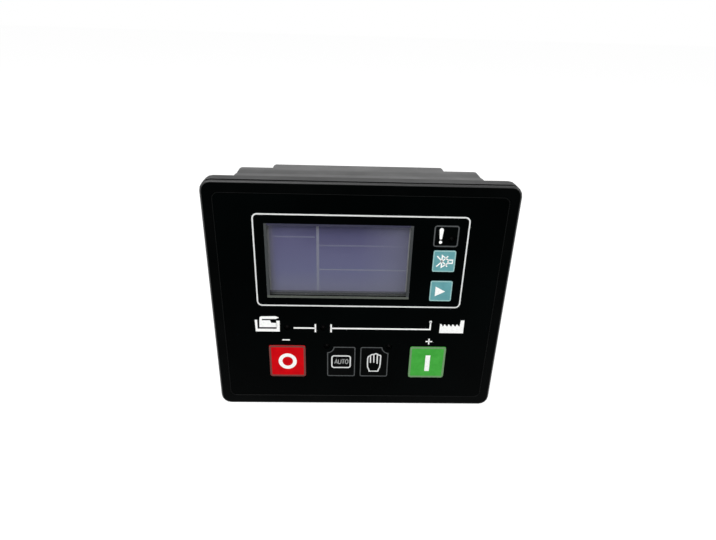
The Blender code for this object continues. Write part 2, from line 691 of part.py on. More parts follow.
def screw_profile(seat, direction, shank, head, head_height, length):
    """Pan-head screw along Y: direction is the way that its point faces."""
    top = seat - direction * head_height
    point = seat + direction * length
    return [
        (head - CROWN_INSET, top),
        (head, top + direction * CROWN_DEPTH),
        (head, seat),
        (shank, seat),
        (shank, point),
    ]


def cross_recess(seat, direction, head, head_height):
    """Two crossed bars that cut the driver's recess in a head."""
    top = seat - direction * head_height
    arm = 2 * (head - CROWN_INSET - RECESS_RIM)
    upright = block("recess", RECESS_WIDTH, arm, top - RECESS_DEPTH, top + RECESS_DEPTH)
    level = block("recess", arm, RECESS_WIDTH, top - RECESS_DEPTH, top + RECESS_DEPTH)
    return fuse(upright, [level])


def make_screws(name, places, seat, direction, shank, head, head_height, length, finish):
    profile = screw_profile(seat, direction, shank, head, head_height, length)
    screw = turned("screw", profile, SCREW_SIDES)
    cut(screw, [cross_recess(seat, direction, head, head_height)])
    finished(screw, "screw", finish)
    for number, (x, z) in enumerate(places, 1):
        copy_at(screw, name + "_" + str(number), x, z)
    bpy.data.objects.remove(screw, do_unlink=True)


def wide_outline(inset):
    return rounded_rect(WIDE_WIDTH - 2 * inset, WIDE_HEIGHT - 2 * inset, WIDE_RADIUS)


def narrow_outline(inset):
    return rounded_rect(NARROW_WIDTH - 2 * inset, NARROW_HEIGHT - 2 * inset, NARROW_RADIUS)


def terminal_x(way, ways):
    return (way - (ways - 1) / 2) * TERMINAL_PITCH


def make_rear_housing(finish):
    """Flange band, wide box with a shallow step, and narrower box, hollow from the front."""
    sections = filleted_sections(bezel_outline, HOUSING_FRONT_Y, 0.0, FLANGE_FILLET)
    sections.append((0.0, wide_outline(0.0)))
    sections.append((WIDE_STEP_Y, wide_outline(0.0)))
    stepped = lambda inset: wide_outline(WIDE_STEP + inset)
    sections += filleted_sections(stepped, WIDE_STEP_Y, WIDE_REAR, WIDE_FILLET)
    sections += filleted_sections(narrow_outline, WIDE_REAR, NARROW_REAR, NARROW_FILLET)
    housing = loft("rear_housing", sections)

    inner_width = NARROW_WIDTH - 2 * HOUSING_WALL
    inner_height = NARROW_HEIGHT - 2 * HOUSING_WALL
    wide_inner = rounded_rect(WIDE_INNER_WIDTH, WIDE_INNER_HEIGHT, INNER_RADIUS)
    narrow_inner = rounded_rect(inner_width, inner_height, INNER_RADIUS)
    hollow = loft("hollow", [
        (HOUSING_FRONT_Y - SEAT, bezel_outline(FLANGE_WALL)),
        (-HOUSING_WALL, bezel_outline(FLANGE_WALL)),
        (-HOUSING_WALL, wide_inner),
        (WIDE_INNER_Y, wide_inner),
        (WIDE_INNER_Y, narrow_inner),
        (NARROW_INNER_Y, narrow_inner),
    ])
    cut(housing, [hollow])

    buried = WIDE_INNER_Y + HOUSING_WALL / 2
    towers = [turned("tower", [(TOWER_RADIUS, BOSS_Y + SEAT), (TOWER_RADIUS, buried)], x=x, z=z)
              for x, z in CASE_SCREW_PLACES]
    standoffs = [turned("standoff", [(STANDOFF_RADIUS, STANDOFF_Y), (STANDOFF_RADIUS, buried)], x=x, z=z)
                 for x, z in FIX_PLACES]
    fuse(housing, towers + standoffs)

    tools = []
    for x, z in CASE_SCREW_PLACES:
        tools.append(turned("well", [
            (TOWER_BORE, BOSS_Y),
            (TOWER_BORE, WIDE_REAR - SCREW_WELL_DEPTH),
            (CASE_SCREW_HEAD + SEAT, WIDE_REAR - SCREW_WELL_DEPTH),
            (CASE_SCREW_HEAD + SEAT, WIDE_REAR + SEAT),
        ], x=x, z=z))
    for x, z in FIX_PLACES:
        pilot = circle(BOARD_SCREW_RADIUS + SEAT, x=x, z=z)
        tools.append(prism("pilot", pilot, STANDOFF_Y - SEAT, MAIN_BOARD_Y + BOARD_SCREW_LENGTH))
    for ways, z in ((UPPER_WAYS, TERMINAL_Z), (LOWER_WAYS, -TERMINAL_Z)):
        width = nose_width(ways) + 2 * SEAT
        height = nose_height() + 2 * SEAT
        tools.append(block("slot", width, height, NARROW_INNER_Y - SEAT, NARROW_REAR + SEAT, 0.0, z))
    for side in (-1, 1):
        wall_x = side * (WIDE_WIDTH / 2 - HOUSING_WALL / 2)
        for up in (-1, 1):
            tools.append(block("clip", 2 * HOUSING_WALL, CLIP_SLOT_HEIGHT, CLIP_SLOT_Y,
                               CLIP_SLOT_Y + CLIP_SLOT_DEPTH, wall_x, up * CLIP_SLOT_Z))
        for index in range(VENT_COUNT):
            z = (index - (VENT_COUNT - 1) / 2) * VENT_PITCH
            tools.append(block("vent", VENT_LENGTH, VENT_WIDTH, WIDE_INNER_Y - SEAT,
                               WIDE_REAR + SEAT, side * VENT_X, z))
    field = rounded_rect(LABEL_FIELD_WIDTH, LABEL_FIELD_HEIGHT, NARROW_RADIUS)
    tools.append(prism("field", field, NARROW_REAR - LABEL_FIELD_DEPTH, NARROW_REAR + SEAT))
    cut(housing, tools)
    return finished(housing, "rear_housing", finish)


def nose_width(ways):
    return ways * TERMINAL_PITCH


def nose_height():
    return HEADER_HEIGHT - 2 * HEADER_WALL - 2 * SEAT


def make_header(name, ways, z, finish):
    """Shrouded pin header on the main board, open to the rear."""
    inner = nose_width(ways) + 2 * SEAT
    outer = inner + 2 * HEADER_END
    header = block(name, outer, HEADER_HEIGHT, HEADER_Y, HEADER_MOUTH_Y, 0.0, z)
    cavity_height = HEADER_HEIGHT - 2 * HEADER_WALL
    cut(header, [block("cavity", inner, cavity_height, HEADER_FLOOR_Y, HEADER_MOUTH_Y + SEAT, 0.0, z)])
    pins = [block("pin", PIN_SIZE, PIN_SIZE, HEADER_FLOOR_Y - PIN_SIZE, PLUG_NOSE_Y + PIN_INSERTION,
                  terminal_x(way, ways), z)
            for way in range(ways)]
    fuse(header, pins)
    finished(header, name, finish, smooth=False)


def make_plug(name, ways, z, screw_side, finish):
    """Pluggable terminal block: nose in the header, wire holes to the rear, clamp screws on one side."""
    half = PLUG_BODY_HEIGHT / 2
    nose = nose_height() / 2
    front = PLUG_BODY_Y
    rear = front + PLUG_BODY_DEPTH
    side = screw_side
    section = [
        (PLUG_NOSE_Y, z - side * nose),
        (front, z - side * nose),
        (front, z - side * half),
        (rear, z - side * half),
        (rear, z + side * (half - PLUG_SHOULDER)),
        (rear - PLUG_SHOULDER_DEPTH, z + side * half),
        (front, z + side * half),
        (front, z + side * nose),
        (PLUG_NOSE_Y, z + side * nose),
    ]
    reach = nose_width(ways) / 2
    plug = extruded_along_x(name, section, -reach, reach)
    wire_z = z - side * WIRE_DROP
    clamp_y = front + (PLUG_BODY_DEPTH - PLUG_SHOULDER_DEPTH) / 2
    clamp_top = z + side * half
    clamp_floor = clamp_top - side * CLAMP_HOLE_DEPTH
    tools = []
    screws = []
    for way in range(ways):
        x = terminal_x(way, ways)
        tools.append(block("wire", WIRE_HOLE, WIRE_HOLE, rear - WIRE_HOLE_DEPTH, rear + SEAT, x, wire_z))
        tools.append(block("pin", PIN_HOLE, PIN_HOLE, PLUG_NOSE_Y - SEAT,
                           PLUG_NOSE_Y + PIN_INSERTION + SEAT, x, z))
        tools.append(upright_rod("clamp", CLAMP_HOLE_RADIUS, x, clamp_y, clamp_floor,
                                 clamp_top + side * SEAT))
        screw_top = clamp_floor + side * CLAMP_SCREW_HEIGHT
        screw = upright_rod("screw", CLAMP_SCREW_RADIUS, x, clamp_y, clamp_floor - side * SEAT, screw_top)
        slot_floor = screw_top - side * CLAMP_SLOT_DEPTH
        slot = upright_block("slot", 2 * CLAMP_SCREW_RADIUS + SEAT, CLAMP_SLOT_WIDTH, x, clamp_y,
                             slot_floor, screw_top + side * SEAT)
        screws.append(cut(screw, [slot]))
    cut(plug, tools)
    fuse(plug, screws)
    finished(plug, name, finish, smooth=False)


def upright_rod(name, radius, x, y, low, high):
    bottom, top = min(low, high), max(low, high)
    sides = CLAMP_SIDES
    ring = circle(radius, sides)
    points = [(x + across, y + along, bottom) for across, along in ring]
    points += [(x + across, y + along, top) for across, along in ring]
    faces = [list(range(sides)), list(range(2 * sides - 1, sides - 1, -1))]
    for index in range(sides):
        after = (index + 1) % sides
        faces.append([index, after, sides + after, sides + index])
    return mesh_object(name, points, faces)


def upright_block(name, width, depth, x, y, low, high):
    bottom, top = min(low, high), max(low, high)
    return block(name, width, top - bottom, y - depth / 2, y + depth / 2, x, (bottom + top) / 2)


def make_link(finish, socket_finish):
    """Long-pin header on the display board and the socket on the main board that takes it."""
    columns = [(column - (LINK_COLUMNS - 1) / 2) * LINK_PITCH for column in range(LINK_COLUMNS)]
    places = [(LINK_X + across, row * LINK_PITCH / 2) for across in columns for row in (-1, 1)]
    width = LINK_COLUMNS * LINK_PITCH
    height = 2 * LINK_PITCH
    base = DISPLAY_BOARD_REAR_Y + SEAT
    socket_front = MAIN_FRONT_SEAT_Y - LINK_SOCKET_HEIGHT
    header = block("link_header", width, height, base, base + LINK_BASE, LINK_X)
    pins = [block("pin", LINK_PIN, LINK_PIN, base + LINK_BASE / 2, socket_front + LINK_INSERTION, x, z)
            for x, z in places]
    fuse(header, pins)
    finished(header, "link_header", finish, smooth=False)
    socket = block("link_socket", width, height, socket_front, MAIN_FRONT_SEAT_Y, LINK_X)
    hole_end = socket_front + LINK_INSERTION + SEAT
    holes = [block("hole", LINK_HOLE, LINK_HOLE, socket_front - SEAT, hole_end, x, z) for x, z in places]
    cut(socket, holes)
    finished(socket, "link_socket", socket_finish, smooth=False)


def make_relays(finish):
    outline = lambda inset: rounded_rect(RELAY_WIDTH - 2 * inset, RELAY_HEIGHT - 2 * inset,
                                         RELAY_EDGE, steps=2)
    front = MAIN_FRONT_SEAT_Y - RELAY_DEPTH
    relay = loft("relay", [
        (front, outline(RELAY_EDGE / 2)),
        (front + RELAY_EDGE / 2, outline(0.0)),
        (MAIN_FRONT_SEAT_Y, outline(0.0)),
    ])
    finished(relay, "relay", finish)
    for index, name in enumerate(("fuel", "crank", "alarm", "load")):
        copy_at(relay, name + "_relay", (index - 1.5) * RELAY_PITCH, RELAY_ROW_Z)
    bpy.data.objects.remove(relay, do_unlink=True)


def make_transformers(finish):
    """Ring-shaped current transformers that lie flat on the board."""
    front = MAIN_FRONT_SEAT_Y - TRANSFORMER_DEPTH
    ring = turned("transformer", [
        (TRANSFORMER_RADIUS - TRANSFORMER_EDGE, front),
        (TRANSFORMER_RADIUS, front + TRANSFORMER_EDGE),
        (TRANSFORMER_RADIUS, MAIN_FRONT_SEAT_Y),
    ], RING_SIDES)
    bore = prism("bore", circle(TRANSFORMER_BORE), front - SEAT, MAIN_FRONT_SEAT_Y + SEAT)
    cut(ring, [bore])
    finished(ring, "transformer", finish)
    for index, phase in enumerate(("first", "second", "third")):
        x = TRANSFORMER_ROW_X + (index - 1) * TRANSFORMER_PITCH
        copy_at(ring, phase + "_current_transformer", x, TRANSFORMER_ROW_Z)
    bpy.data.objects.remove(ring, do_unlink=True)


def make_capacitor(finish):
    """Electrolytic can with the rolled groove near the board."""
    foot = MAIN_FRONT_SEAT_Y
    top = foot - CAPACITOR_HEIGHT
    edge = CAPACITOR_EDGE
    groove = foot - CAPACITOR_GROOVE
    can = turned("filter_capacitor", [
        (CAPACITOR_RADIUS - edge, top),
        (CAPACITOR_RADIUS, top + edge),
        (CAPACITOR_RADIUS, groove - edge),
        (CAPACITOR_RADIUS - edge, groove),
        (CAPACITOR_RADIUS, groove + edge),
        (CAPACITOR_RADIUS, foot),
    ], CAN_SIDES, CAPACITOR_X, CAPACITOR_Z)
    finished(can, "filter_capacitor", finish)


def make_microcontroller(finish):
    """Flat square chip with a row of legs on each side."""
    front = MAIN_FRONT_SEAT_Y - CHIP_HEIGHT
    chip = block("microcontroller", CHIP_SIZE, CHIP_SIZE, front, MAIN_FRONT_SEAT_Y - CHIP_LIFT, CHIP_X)
    leg_front = MAIN_FRONT_SEAT_Y - CHIP_LIFT - CHIP_LEG_THICKNESS
    legs = []
    for index in range(CHIP_LEGS):
        along = (index - (CHIP_LEGS - 1) / 2) * CHIP_LEG_PITCH
        for side in (-1, 1):
            middle = side * CHIP_SIZE / 2
            length = 2 * CHIP_LEG_REACH
            legs.append(block("leg", length, CHIP_LEG_WIDTH, leg_front, MAIN_FRONT_SEAT_Y,
                              CHIP_X + middle, along))
            legs.append(block("leg", CHIP_LEG_WIDTH, length, leg_front, MAIN_FRONT_SEAT_Y,
                              CHIP_X + along, middle))
    fuse(chip, legs)
    finished(chip, "microcontroller", finish, smooth=False)


clear_scene()

case_plastic = make_finish("black_case_plastic", (0.018, 0.019, 0.020), 0.42)
film_print = make_finish("black_printed_film", (0.006, 0.007, 0.008), 0.35)
clear_plastic = make_finish("clear_pane", (0.55, 0.55, 0.60), 0.08, alpha=0.35)
cell_glass = make_finish("grey_violet_cell", (0.12, 0.12, 0.22), 0.15)
cell_frame_plastic = make_finish("grey_cell_frame", (0.10, 0.11, 0.10), 0.45)
light_guide = make_finish("white_light_guide", (0.80, 0.80, 0.78), 0.40)
red_plastic = make_finish("red_key", (0.66, 0.005, 0.012), 0.35)
green_plastic = make_finish("green_key", (0.06, 0.36, 0.06), 0.35)
teal_plastic = make_finish("teal_key", (0.10, 0.40, 0.43), 0.35)
black_key_plastic = make_finish("black_key", (0.006, 0.007, 0.008), 0.35)
switch_plastic = make_finish("switch_plastic", (0.02, 0.02, 0.02), 0.50)
lamp_resin = make_finish("smoked_lamp_resin", (0.02, 0.02, 0.02), 0.20)
board_laminate = make_finish("green_laminate", (0.01, 0.12, 0.04), 0.40)
zinc_steel = make_finish("zinc_plated_steel", (0.60, 0.60, 0.58), 0.35, metallic=1.0)
terminal_plastic = make_finish("green_terminal_plastic", (0.02, 0.25, 0.07), 0.45)
relay_plastic = make_finish("relay_case_plastic", (0.02, 0.06, 0.20), 0.40)
transformer_resin = make_finish("transformer_resin", (0.02, 0.02, 0.02), 0.50)
can_sleeve = make_finish("capacitor_sleeve", (0.01, 0.01, 0.03), 0.35)
chip_resin = make_finish("chip_resin", (0.01, 0.01, 0.01), 0.55)

make_front_frame(case_plastic)
make_front_film(film_print)
make_display(clear_plastic, cell_glass, cell_frame_plastic, light_guide)
make_keys({
    "stop": red_plastic,
    "start": green_plastic,
    "auto": black_key_plastic,
    "manual": black_key_plastic,
    "mute": teal_plastic,
    "page": teal_plastic,
}, switch_plastic)
make_switches(switch_plastic)
make_lamps(lamp_resin)
make_boards(board_laminate)
make_screws("display_board_screw", FIX_PLACES, DISPLAY_BOARD_REAR_Y + SEAT, -1,
            BOARD_SCREW_RADIUS, BOARD_SCREW_HEAD, BOARD_SCREW_HEAD_HEIGHT, BOARD_SCREW_LENGTH, zinc_steel)
make_screws("main_board_screw", FIX_PLACES, MAIN_BOARD_Y - SEAT, 1,
            BOARD_SCREW_RADIUS, BOARD_SCREW_HEAD, BOARD_SCREW_HEAD_HEIGHT, BOARD_SCREW_LENGTH, zinc_steel)
make_rear_housing(case_plastic)
case_screw_seat = WIDE_REAR - SCREW_WELL_DEPTH + SEAT
make_screws("case_screw", CASE_SCREW_PLACES, case_screw_seat, -1, CASE_SCREW_RADIUS, CASE_SCREW_HEAD,
            CASE_SCREW_HEAD_HEIGHT, case_screw_seat - FRAME_REAR_Y - SEAT, zinc_steel)
make_header("upper_header", UPPER_WAYS, TERMINAL_Z, terminal_plastic)
make_header("lower_header", LOWER_WAYS, -TERMINAL_Z, terminal_plastic)
make_plug("upper_plug", UPPER_WAYS, TERMINAL_Z, 1, terminal_plastic)
make_plug("lower_plug", LOWER_WAYS, -TERMINAL_Z, -1, terminal_plastic)
make_link(chip_resin, chip_resin)
make_relays(relay_plastic)
make_transformers(transformer_resin)
make_capacitor(can_sleeve)
make_microcontroller(chip_resin)
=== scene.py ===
# Looks of a panel-mounted genset controller: finishes, prints, display, keys, lamps, terminals and studio.
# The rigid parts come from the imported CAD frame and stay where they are.
# All sizes are in metres, in the frame of the CAD: x right, y into the panel, z up.
# Its origin is the middle of the panel cut-out.
import math

import bmesh
import bpy
from mathutils import Matrix, Vector
from mathutils.geometry import tessellate_polygon


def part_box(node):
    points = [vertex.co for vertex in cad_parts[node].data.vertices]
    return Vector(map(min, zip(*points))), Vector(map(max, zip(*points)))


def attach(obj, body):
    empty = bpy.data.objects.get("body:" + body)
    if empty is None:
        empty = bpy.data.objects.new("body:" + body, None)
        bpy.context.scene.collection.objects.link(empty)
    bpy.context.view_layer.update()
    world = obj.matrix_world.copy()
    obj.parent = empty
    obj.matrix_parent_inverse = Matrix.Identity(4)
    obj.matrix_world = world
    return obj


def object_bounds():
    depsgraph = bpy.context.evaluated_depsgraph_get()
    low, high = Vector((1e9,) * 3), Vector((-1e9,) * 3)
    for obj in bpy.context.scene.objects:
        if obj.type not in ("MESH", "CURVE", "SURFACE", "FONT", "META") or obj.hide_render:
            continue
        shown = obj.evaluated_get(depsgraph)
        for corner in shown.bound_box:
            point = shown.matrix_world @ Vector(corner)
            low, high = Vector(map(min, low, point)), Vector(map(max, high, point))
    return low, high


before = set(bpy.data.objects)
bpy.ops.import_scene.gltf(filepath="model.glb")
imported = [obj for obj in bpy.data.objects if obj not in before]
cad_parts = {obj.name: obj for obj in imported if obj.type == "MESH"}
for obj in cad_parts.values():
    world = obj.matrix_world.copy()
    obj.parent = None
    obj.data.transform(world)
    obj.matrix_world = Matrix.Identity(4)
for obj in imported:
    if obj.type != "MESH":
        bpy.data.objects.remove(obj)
CAD_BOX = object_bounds()


# Front frame: the shell that lies on the panel, with a rounded edge round a shallow recess for the film.
# It is injection moulded in black ABS with a fine spark-eroded grain, and carries every other piece.
# The grain is drawn a few times coarser than the real one, which is too fine to show in the render.
ABS_BLACK = "#020303"
ABS_WORN = "#040505"
ABS_IOR = 1.53
ABS_GRAIN = 0.00045
ABS_FLOW = 0.018
ABS_FLOW_CHANGE = 0.04
FRAME_GRAIN_HEIGHT = 0.00003
FRAME_SHEEN = 0.12
FRAME_ROUGHNESS = 0.34
EDGE_POLISH = 0.0007
EDGE_BLEND = 0.00005
POLISH_ROUGHNESS = 0.38
GROOVE_GRAIN = 0.58


def linear(hex_colour, strength=1.0):
    """Linear RGBA of an sRGB hex colour."""
    parts = [int(hex_colour[i : i + 2], 16) / 255 for i in (1, 3, 5)]
    values = [p / 12.92 if p <= 0.04045 else ((p + 0.055) / 1.055) ** 2.4 for p in parts]
    return (*[v * strength for v in values], 1.0)


def add_node(tree, kind, settings=None, links=None, stops=()):
    """One node with its properties, socket values, linked inputs and, on a ramp, places and hex colours."""
    node = tree.nodes.new(kind)
    for name, value in (settings or {}).items():
        if isinstance(name, str) and hasattr(node, name):
            setattr(node, name, value)
        else:
            node.inputs[name].default_value = value
    for name, source in (links or {}).items():
        tree.links.new(source, node.inputs[name])
    for index, (place, colour) in enumerate(stops):
        elements = node.color_ramp.elements
        element = elements[index] if index < len(elements) else elements.new(place)
        element.position = place
        element.color = linear(colour)
    return node


def start_finish(name, sockets):
    """A new material with its tree, its Principled shader and the object coordinates for its patterns."""
    material = bpy.data.materials.new(name)
    material.use_nodes = True
    tree = material.node_tree
    shader = tree.nodes["Principled BSDF"]
    for socket, value in sockets.items():
        shader.inputs[socket].default_value = value
    place = add_node(tree, "ShaderNodeTexCoord").outputs["Object"]
    return material, tree, shader, place


def cover(material, *nodes):
    """Gives CAD nodes their finish."""
    for name in nodes:
        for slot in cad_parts[name].material_slots:
            slot.material = material


def abs_finish(name, dark, light, grain_height, sheen, roughness):
    """Moulded ABS: near black head-on, grey in a grazing light, with a fine grain and faint flow marks."""
    material, tree, shader, place = start_finish(
        name, {"IOR": ABS_IOR, "Specular IOR Level": sheen, "Specular Tint": linear("#202020")}
    )
    flow = add_node(tree, "ShaderNodeTexNoise", {"Scale": 1 / ABS_FLOW, "Detail": 3.0}, {"Vector": place})
    grain = add_node(tree, "ShaderNodeTexNoise", {"Scale": 1 / ABS_GRAIN, "Detail": 2.0}, {"Vector": place})
    colour = add_node(
        tree, "ShaderNodeValToRGB", links={"Fac": flow.outputs["Fac"]}, stops=[(0.35, dark), (0.75, light)]
    )
    low, high = roughness - ABS_FLOW_CHANGE, roughness + ABS_FLOW_CHANGE
    rough = add_node(
        tree,
        "ShaderNodeMapRange",
        {"From Min": 0.3, "From Max": 0.7, "To Min": low, "To Max": high},
        {"Value": flow.outputs["Fac"]},
    )
    bump = add_node(
        tree,
        "ShaderNodeBump",
        {"Strength": 0.35, "Distance": grain_height},
        {"Height": grain.outputs["Fac"]},
    )
    tree.links.new(colour.outputs["Color"], shader.inputs["Base Color"])
    tree.links.new(rough.outputs["Result"], shader.inputs["Roughness"])
    tree.links.new(bump.outputs["Normal"], shader.inputs["Normal"])
    return material


# The mould's edge radius is polished, so that band alone has the gloss of bare ABS.
# The groove behind it is coarse and stays dark.
front_abs = abs_finish(
    "moulded_black_abs", ABS_BLACK, ABS_WORN, FRAME_GRAIN_HEIGHT, FRAME_SHEEN, FRAME_ROUGHNESS
)
tree = front_abs.node_tree
shader = tree.nodes["Principled BSDF"]
FRAME_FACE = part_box("front_frame")[0].y
POLISH_END = FRAME_FACE + EDGE_POLISH
place = tree.nodes["Texture Coordinate"].outputs["Object"]
depth = add_node(tree, "ShaderNodeSeparateXYZ", links={"Vector": place}).outputs["Y"]
bands = []
for start, before, after in ((FRAME_FACE, 0, 1), (POLISH_END, 1, 0), (POLISH_END, 0, GROOVE_GRAIN)):
    band = add_node(
        tree,
        "ShaderNodeMapRange",
        {"From Min": start, "From Max": start + EDGE_BLEND, "To Min": before, "To Max": after},
        {"Value": depth},
    )
    bands.append(band.outputs["Result"])
edge_front, edge_rear, groove = bands
polish = add_node(tree, "ShaderNodeMath", {"operation": "MULTIPLY"}, {0: edge_front, 1: edge_rear})
face_roughness = shader.inputs["Roughness"].links[0].from_socket
coarser = add_node(tree, "ShaderNodeMath", {"operation": "ADD"}, {0: face_roughness, 1: groove})
tree.links.new(coarser.outputs["Value"], shader.inputs["Roughness"])
tree.links.new(polish.outputs["Value"], shader.inputs["Coat Weight"])
shader.inputs["Coat Roughness"].default_value = POLISH_ROUGHNESS
shader.inputs["Coat IOR"].default_value = ABS_IOR
cover(front_abs, "front_frame")


# Front film: one sheet of polycarbonate with a matt hard coat, back-printed black and die-cut for window,
# keys and lamps. It is glued into the recess of the front frame.
# The hard coat scatters light so evenly that the film reads as black.
FILM_BLACK = "#010202"
FILM_HAZED = "#020404"
FILM_IOR = 1.58
FILM_SHEEN = 0.09
FILM_SMOOTH, FILM_ROUGH = 0.22, 0.28
FILM_ORANGE_PEEL = 0.0012
FILM_PEEL_HEIGHT = 0.00002
FILM_HAZE = 0.045


def film_finish(name, dark, light):
    """Matt hard-coated polycarbonate: a deep colour, a dry surface and the slightest unevenness."""
    material, tree, shader, place = start_finish(
        name, {"IOR": FILM_IOR, "Specular IOR Level": FILM_SHEEN, "Specular Tint": linear("#1c1c1c")}
    )
    haze = add_node(tree, "ShaderNodeTexNoise", {"Scale": 1 / FILM_HAZE, "Detail": 2.0}, {"Vector": place})
    fine = {"Scale": 1 / FILM_ORANGE_PEEL, "Detail": 1.0}
    peel = add_node(tree, "ShaderNodeTexNoise", fine, {"Vector": place})
    colour = add_node(
        tree, "ShaderNodeValToRGB", links={"Fac": haze.outputs["Fac"]}, stops=[(0.35, dark), (0.7, light)]
    )
    rough = add_node(
        tree,
        "ShaderNodeMapRange",
        {"From Min": 0.3, "From Max": 0.7, "To Min": FILM_SMOOTH, "To Max": FILM_ROUGH},
        {"Value": haze.outputs["Fac"]},
    )
    bump = add_node(
        tree,
        "ShaderNodeBump",
        {"Strength": 0.15, "Distance": FILM_PEEL_HEIGHT},
        {"Height": peel.outputs["Fac"]},
    )
    tree.links.new(colour.outputs["Color"], shader.inputs["Base Color"])
    tree.links.new(rough.outputs["Result"], shader.inputs["Roughness"])
    tree.links.new(bump.outputs["Normal"], shader.inputs["Normal"])
    return material


cover(film_finish("matt_printed_polycarbonate", FILM_BLACK, FILM_HAZED), "front_film")
FILM_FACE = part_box("front_film")[0].y


# Prints on the film: white screen ink, laid down through a mesh and cured to a dry layer with crisp edges.
# They are the frame round display and side keys, the mimic line from generator to load, and its two pictures.
INK_WHITE = "#fcfdfb"
INK_THIN = "#eef0ee"
INK_HEIGHT = 0.00004
INK_BITE = 0.00001
INK_MOTTLE = 0.0008
INK_MOTTLE_HEIGHT = 0.00001
SHARPEST_MITRE = 0.35


def ink_finish(name, thick, thin):
    """Screen ink: even and dry, with the slight mottle of a thin layer."""
    dry = {"IOR": 1.5, "Specular IOR Level": 0.2, "Roughness": 0.6}
    material, tree, shader, place = start_finish(name, dry)
    mottle = add_node(tree, "ShaderNodeTexNoise", {"Scale": 1 / INK_MOTTLE, "Detail": 3.0}, {"Vector": place})
    colour = add_node(
        tree, "ShaderNodeValToRGB", links={"Fac": mottle.outputs["Fac"]}, stops=[(0.3, thin), (0.55, thick)]
    )
    bump = add_node(
        tree,
        "ShaderNodeBump",
        {"Strength": 0.2, "Distance": INK_MOTTLE_HEIGHT},
        {"Height": mottle.outputs["Fac"]},
    )
    tree.links.new(colour.outputs["Color"], shader.inputs["Base Color"])
    tree.links.new(bump.outputs["Normal"], shader.inputs["Normal"])
    return material


def arc(centre, radius, start, end, steps=8):
    """Points on a circle from one angle to another, in degrees."""
    angles = [math.radians(start + (end - start) * i / steps) for i in range(steps + 1)]
    return [(centre[0] + radius * math.cos(a), centre[1] + radius * math.sin(a)) for a in angles]


def circle(centre, radius, steps=32):
    """A closed round outline."""
    return arc(centre, radius, 0, 360, steps)[:-1]


def rounded_box(left, right, low, high, radius):
    """A closed rectangle with rounded corners, from the lower right corner upwards."""
    return (
        arc((right - radius, low + radius), radius, -90, 0)
        + arc((right - radius, high - radius), radius, 0, 90)
        + arc((left + radius, high - radius), radius, 90, 180)
        + arc((left + radius, low + radius), radius, 180, 270)
    )


def box_line(left, right, low, high):
    """A closed rectangle with sharp corners."""
    return [(left, low), (right, low), (right, high), (left, high)]


def offset_line(points, reach, closed):
    """The line through points moved sideways by reach, with mitred corners."""
    corners = [Vector(p) for p in points]
    count = len(corners)
    moved = []
    for i, corner in enumerate(corners):
        ways = []
        if closed or i > 0:
            ways.append((corner - corners[i - 1]).normalized())
        if closed or i < count - 1:
            ways.append((corners[(i + 1) % count] - corner).normalized())
        sides = [Vector((-way.y, way.x)) for way in ways]
        mitre = sum(sides, Vector((0, 0))).normalized()
        moved.append(tuple(corner + mitre * reach / max(mitre.dot(sides[0]), SHARPEST_MITRE)))
    return moved


def stroke(points, width, closed=False):
    """The outlines of a line of ink: one loop round an open line, or two for a closed one."""
    left = offset_line(points, width / 2, closed)
    right = offset_line(points, -width / 2, closed)
    return [left, right] if closed else [left + right[::-1]]


def lay_ink(name, shapes, face, material, body, height=INK_HEIGHT):
    """A closed layer of ink on a face that looks forward. Each shape is an outline followed by its holes."""
    mesh = bmesh.new()
    for loops in shapes:
        corners = [corner for loop in loops for corner in loop]
        front = [mesh.verts.new((x, face - height, z)) for x, z in corners]
        back = [mesh.verts.new((x, face + INK_BITE, z)) for x, z in corners]
        for a, b, c in tessellate_polygon([[(x, z, 0) for x, z in loop] for loop in loops]):
            mesh.faces.new((front[a], front[b], front[c]))
            mesh.faces.new((back[c], back[b], back[a]))
        start = 0
        for loop in loops:
            for i in range(len(loop)):
                here = start + i
                there = start + (i + 1) % len(loop)
                mesh.faces.new((front[here], back[here], back[there], front[there]))
            start += len(loop)
    bmesh.ops.recalc_face_normals(mesh, faces=mesh.faces)
    data = bpy.data.meshes.new(name)
    mesh.to_mesh(data)
    mesh.free()
    piece = bpy.data.objects.new(name, data)
    bpy.context.scene.collection.objects.link(piece)
    data.materials.append(material)
    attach(piece, body)
    return piece


def mm(points):
    """Points given in millimetres, in metres."""
    return [(x / 1000, z / 1000) for x, z in points]


WHITE_INK = ink_finish("white_screen_ink", INK_WHITE, INK_THIN)
LINE_INK = ink_finish("white_line_ink", "#e0e2e1", "#d6d8d7")
GREY_INK = ink_finish("grey_screen_ink", "#4a4d4e", "#3f4243")

BORDER_LINE = 0.00066
BORDER_LEFT, BORDER_RIGHT = -0.04985, 0.0501
BORDER_LOW, BORDER_HIGH = -0.0009, 0.0451
BORDER_RADIUS = 0.0022
display_border = rounded_box(BORDER_LEFT, BORDER_RIGHT, BORDER_LOW, BORDER_HIGH, BORDER_RADIUS)
lay_ink(
    "display_border",
    [stroke(display_border, BORDER_LINE, True)],
    FILM_FACE,
    LINE_INK,
    "case",
)

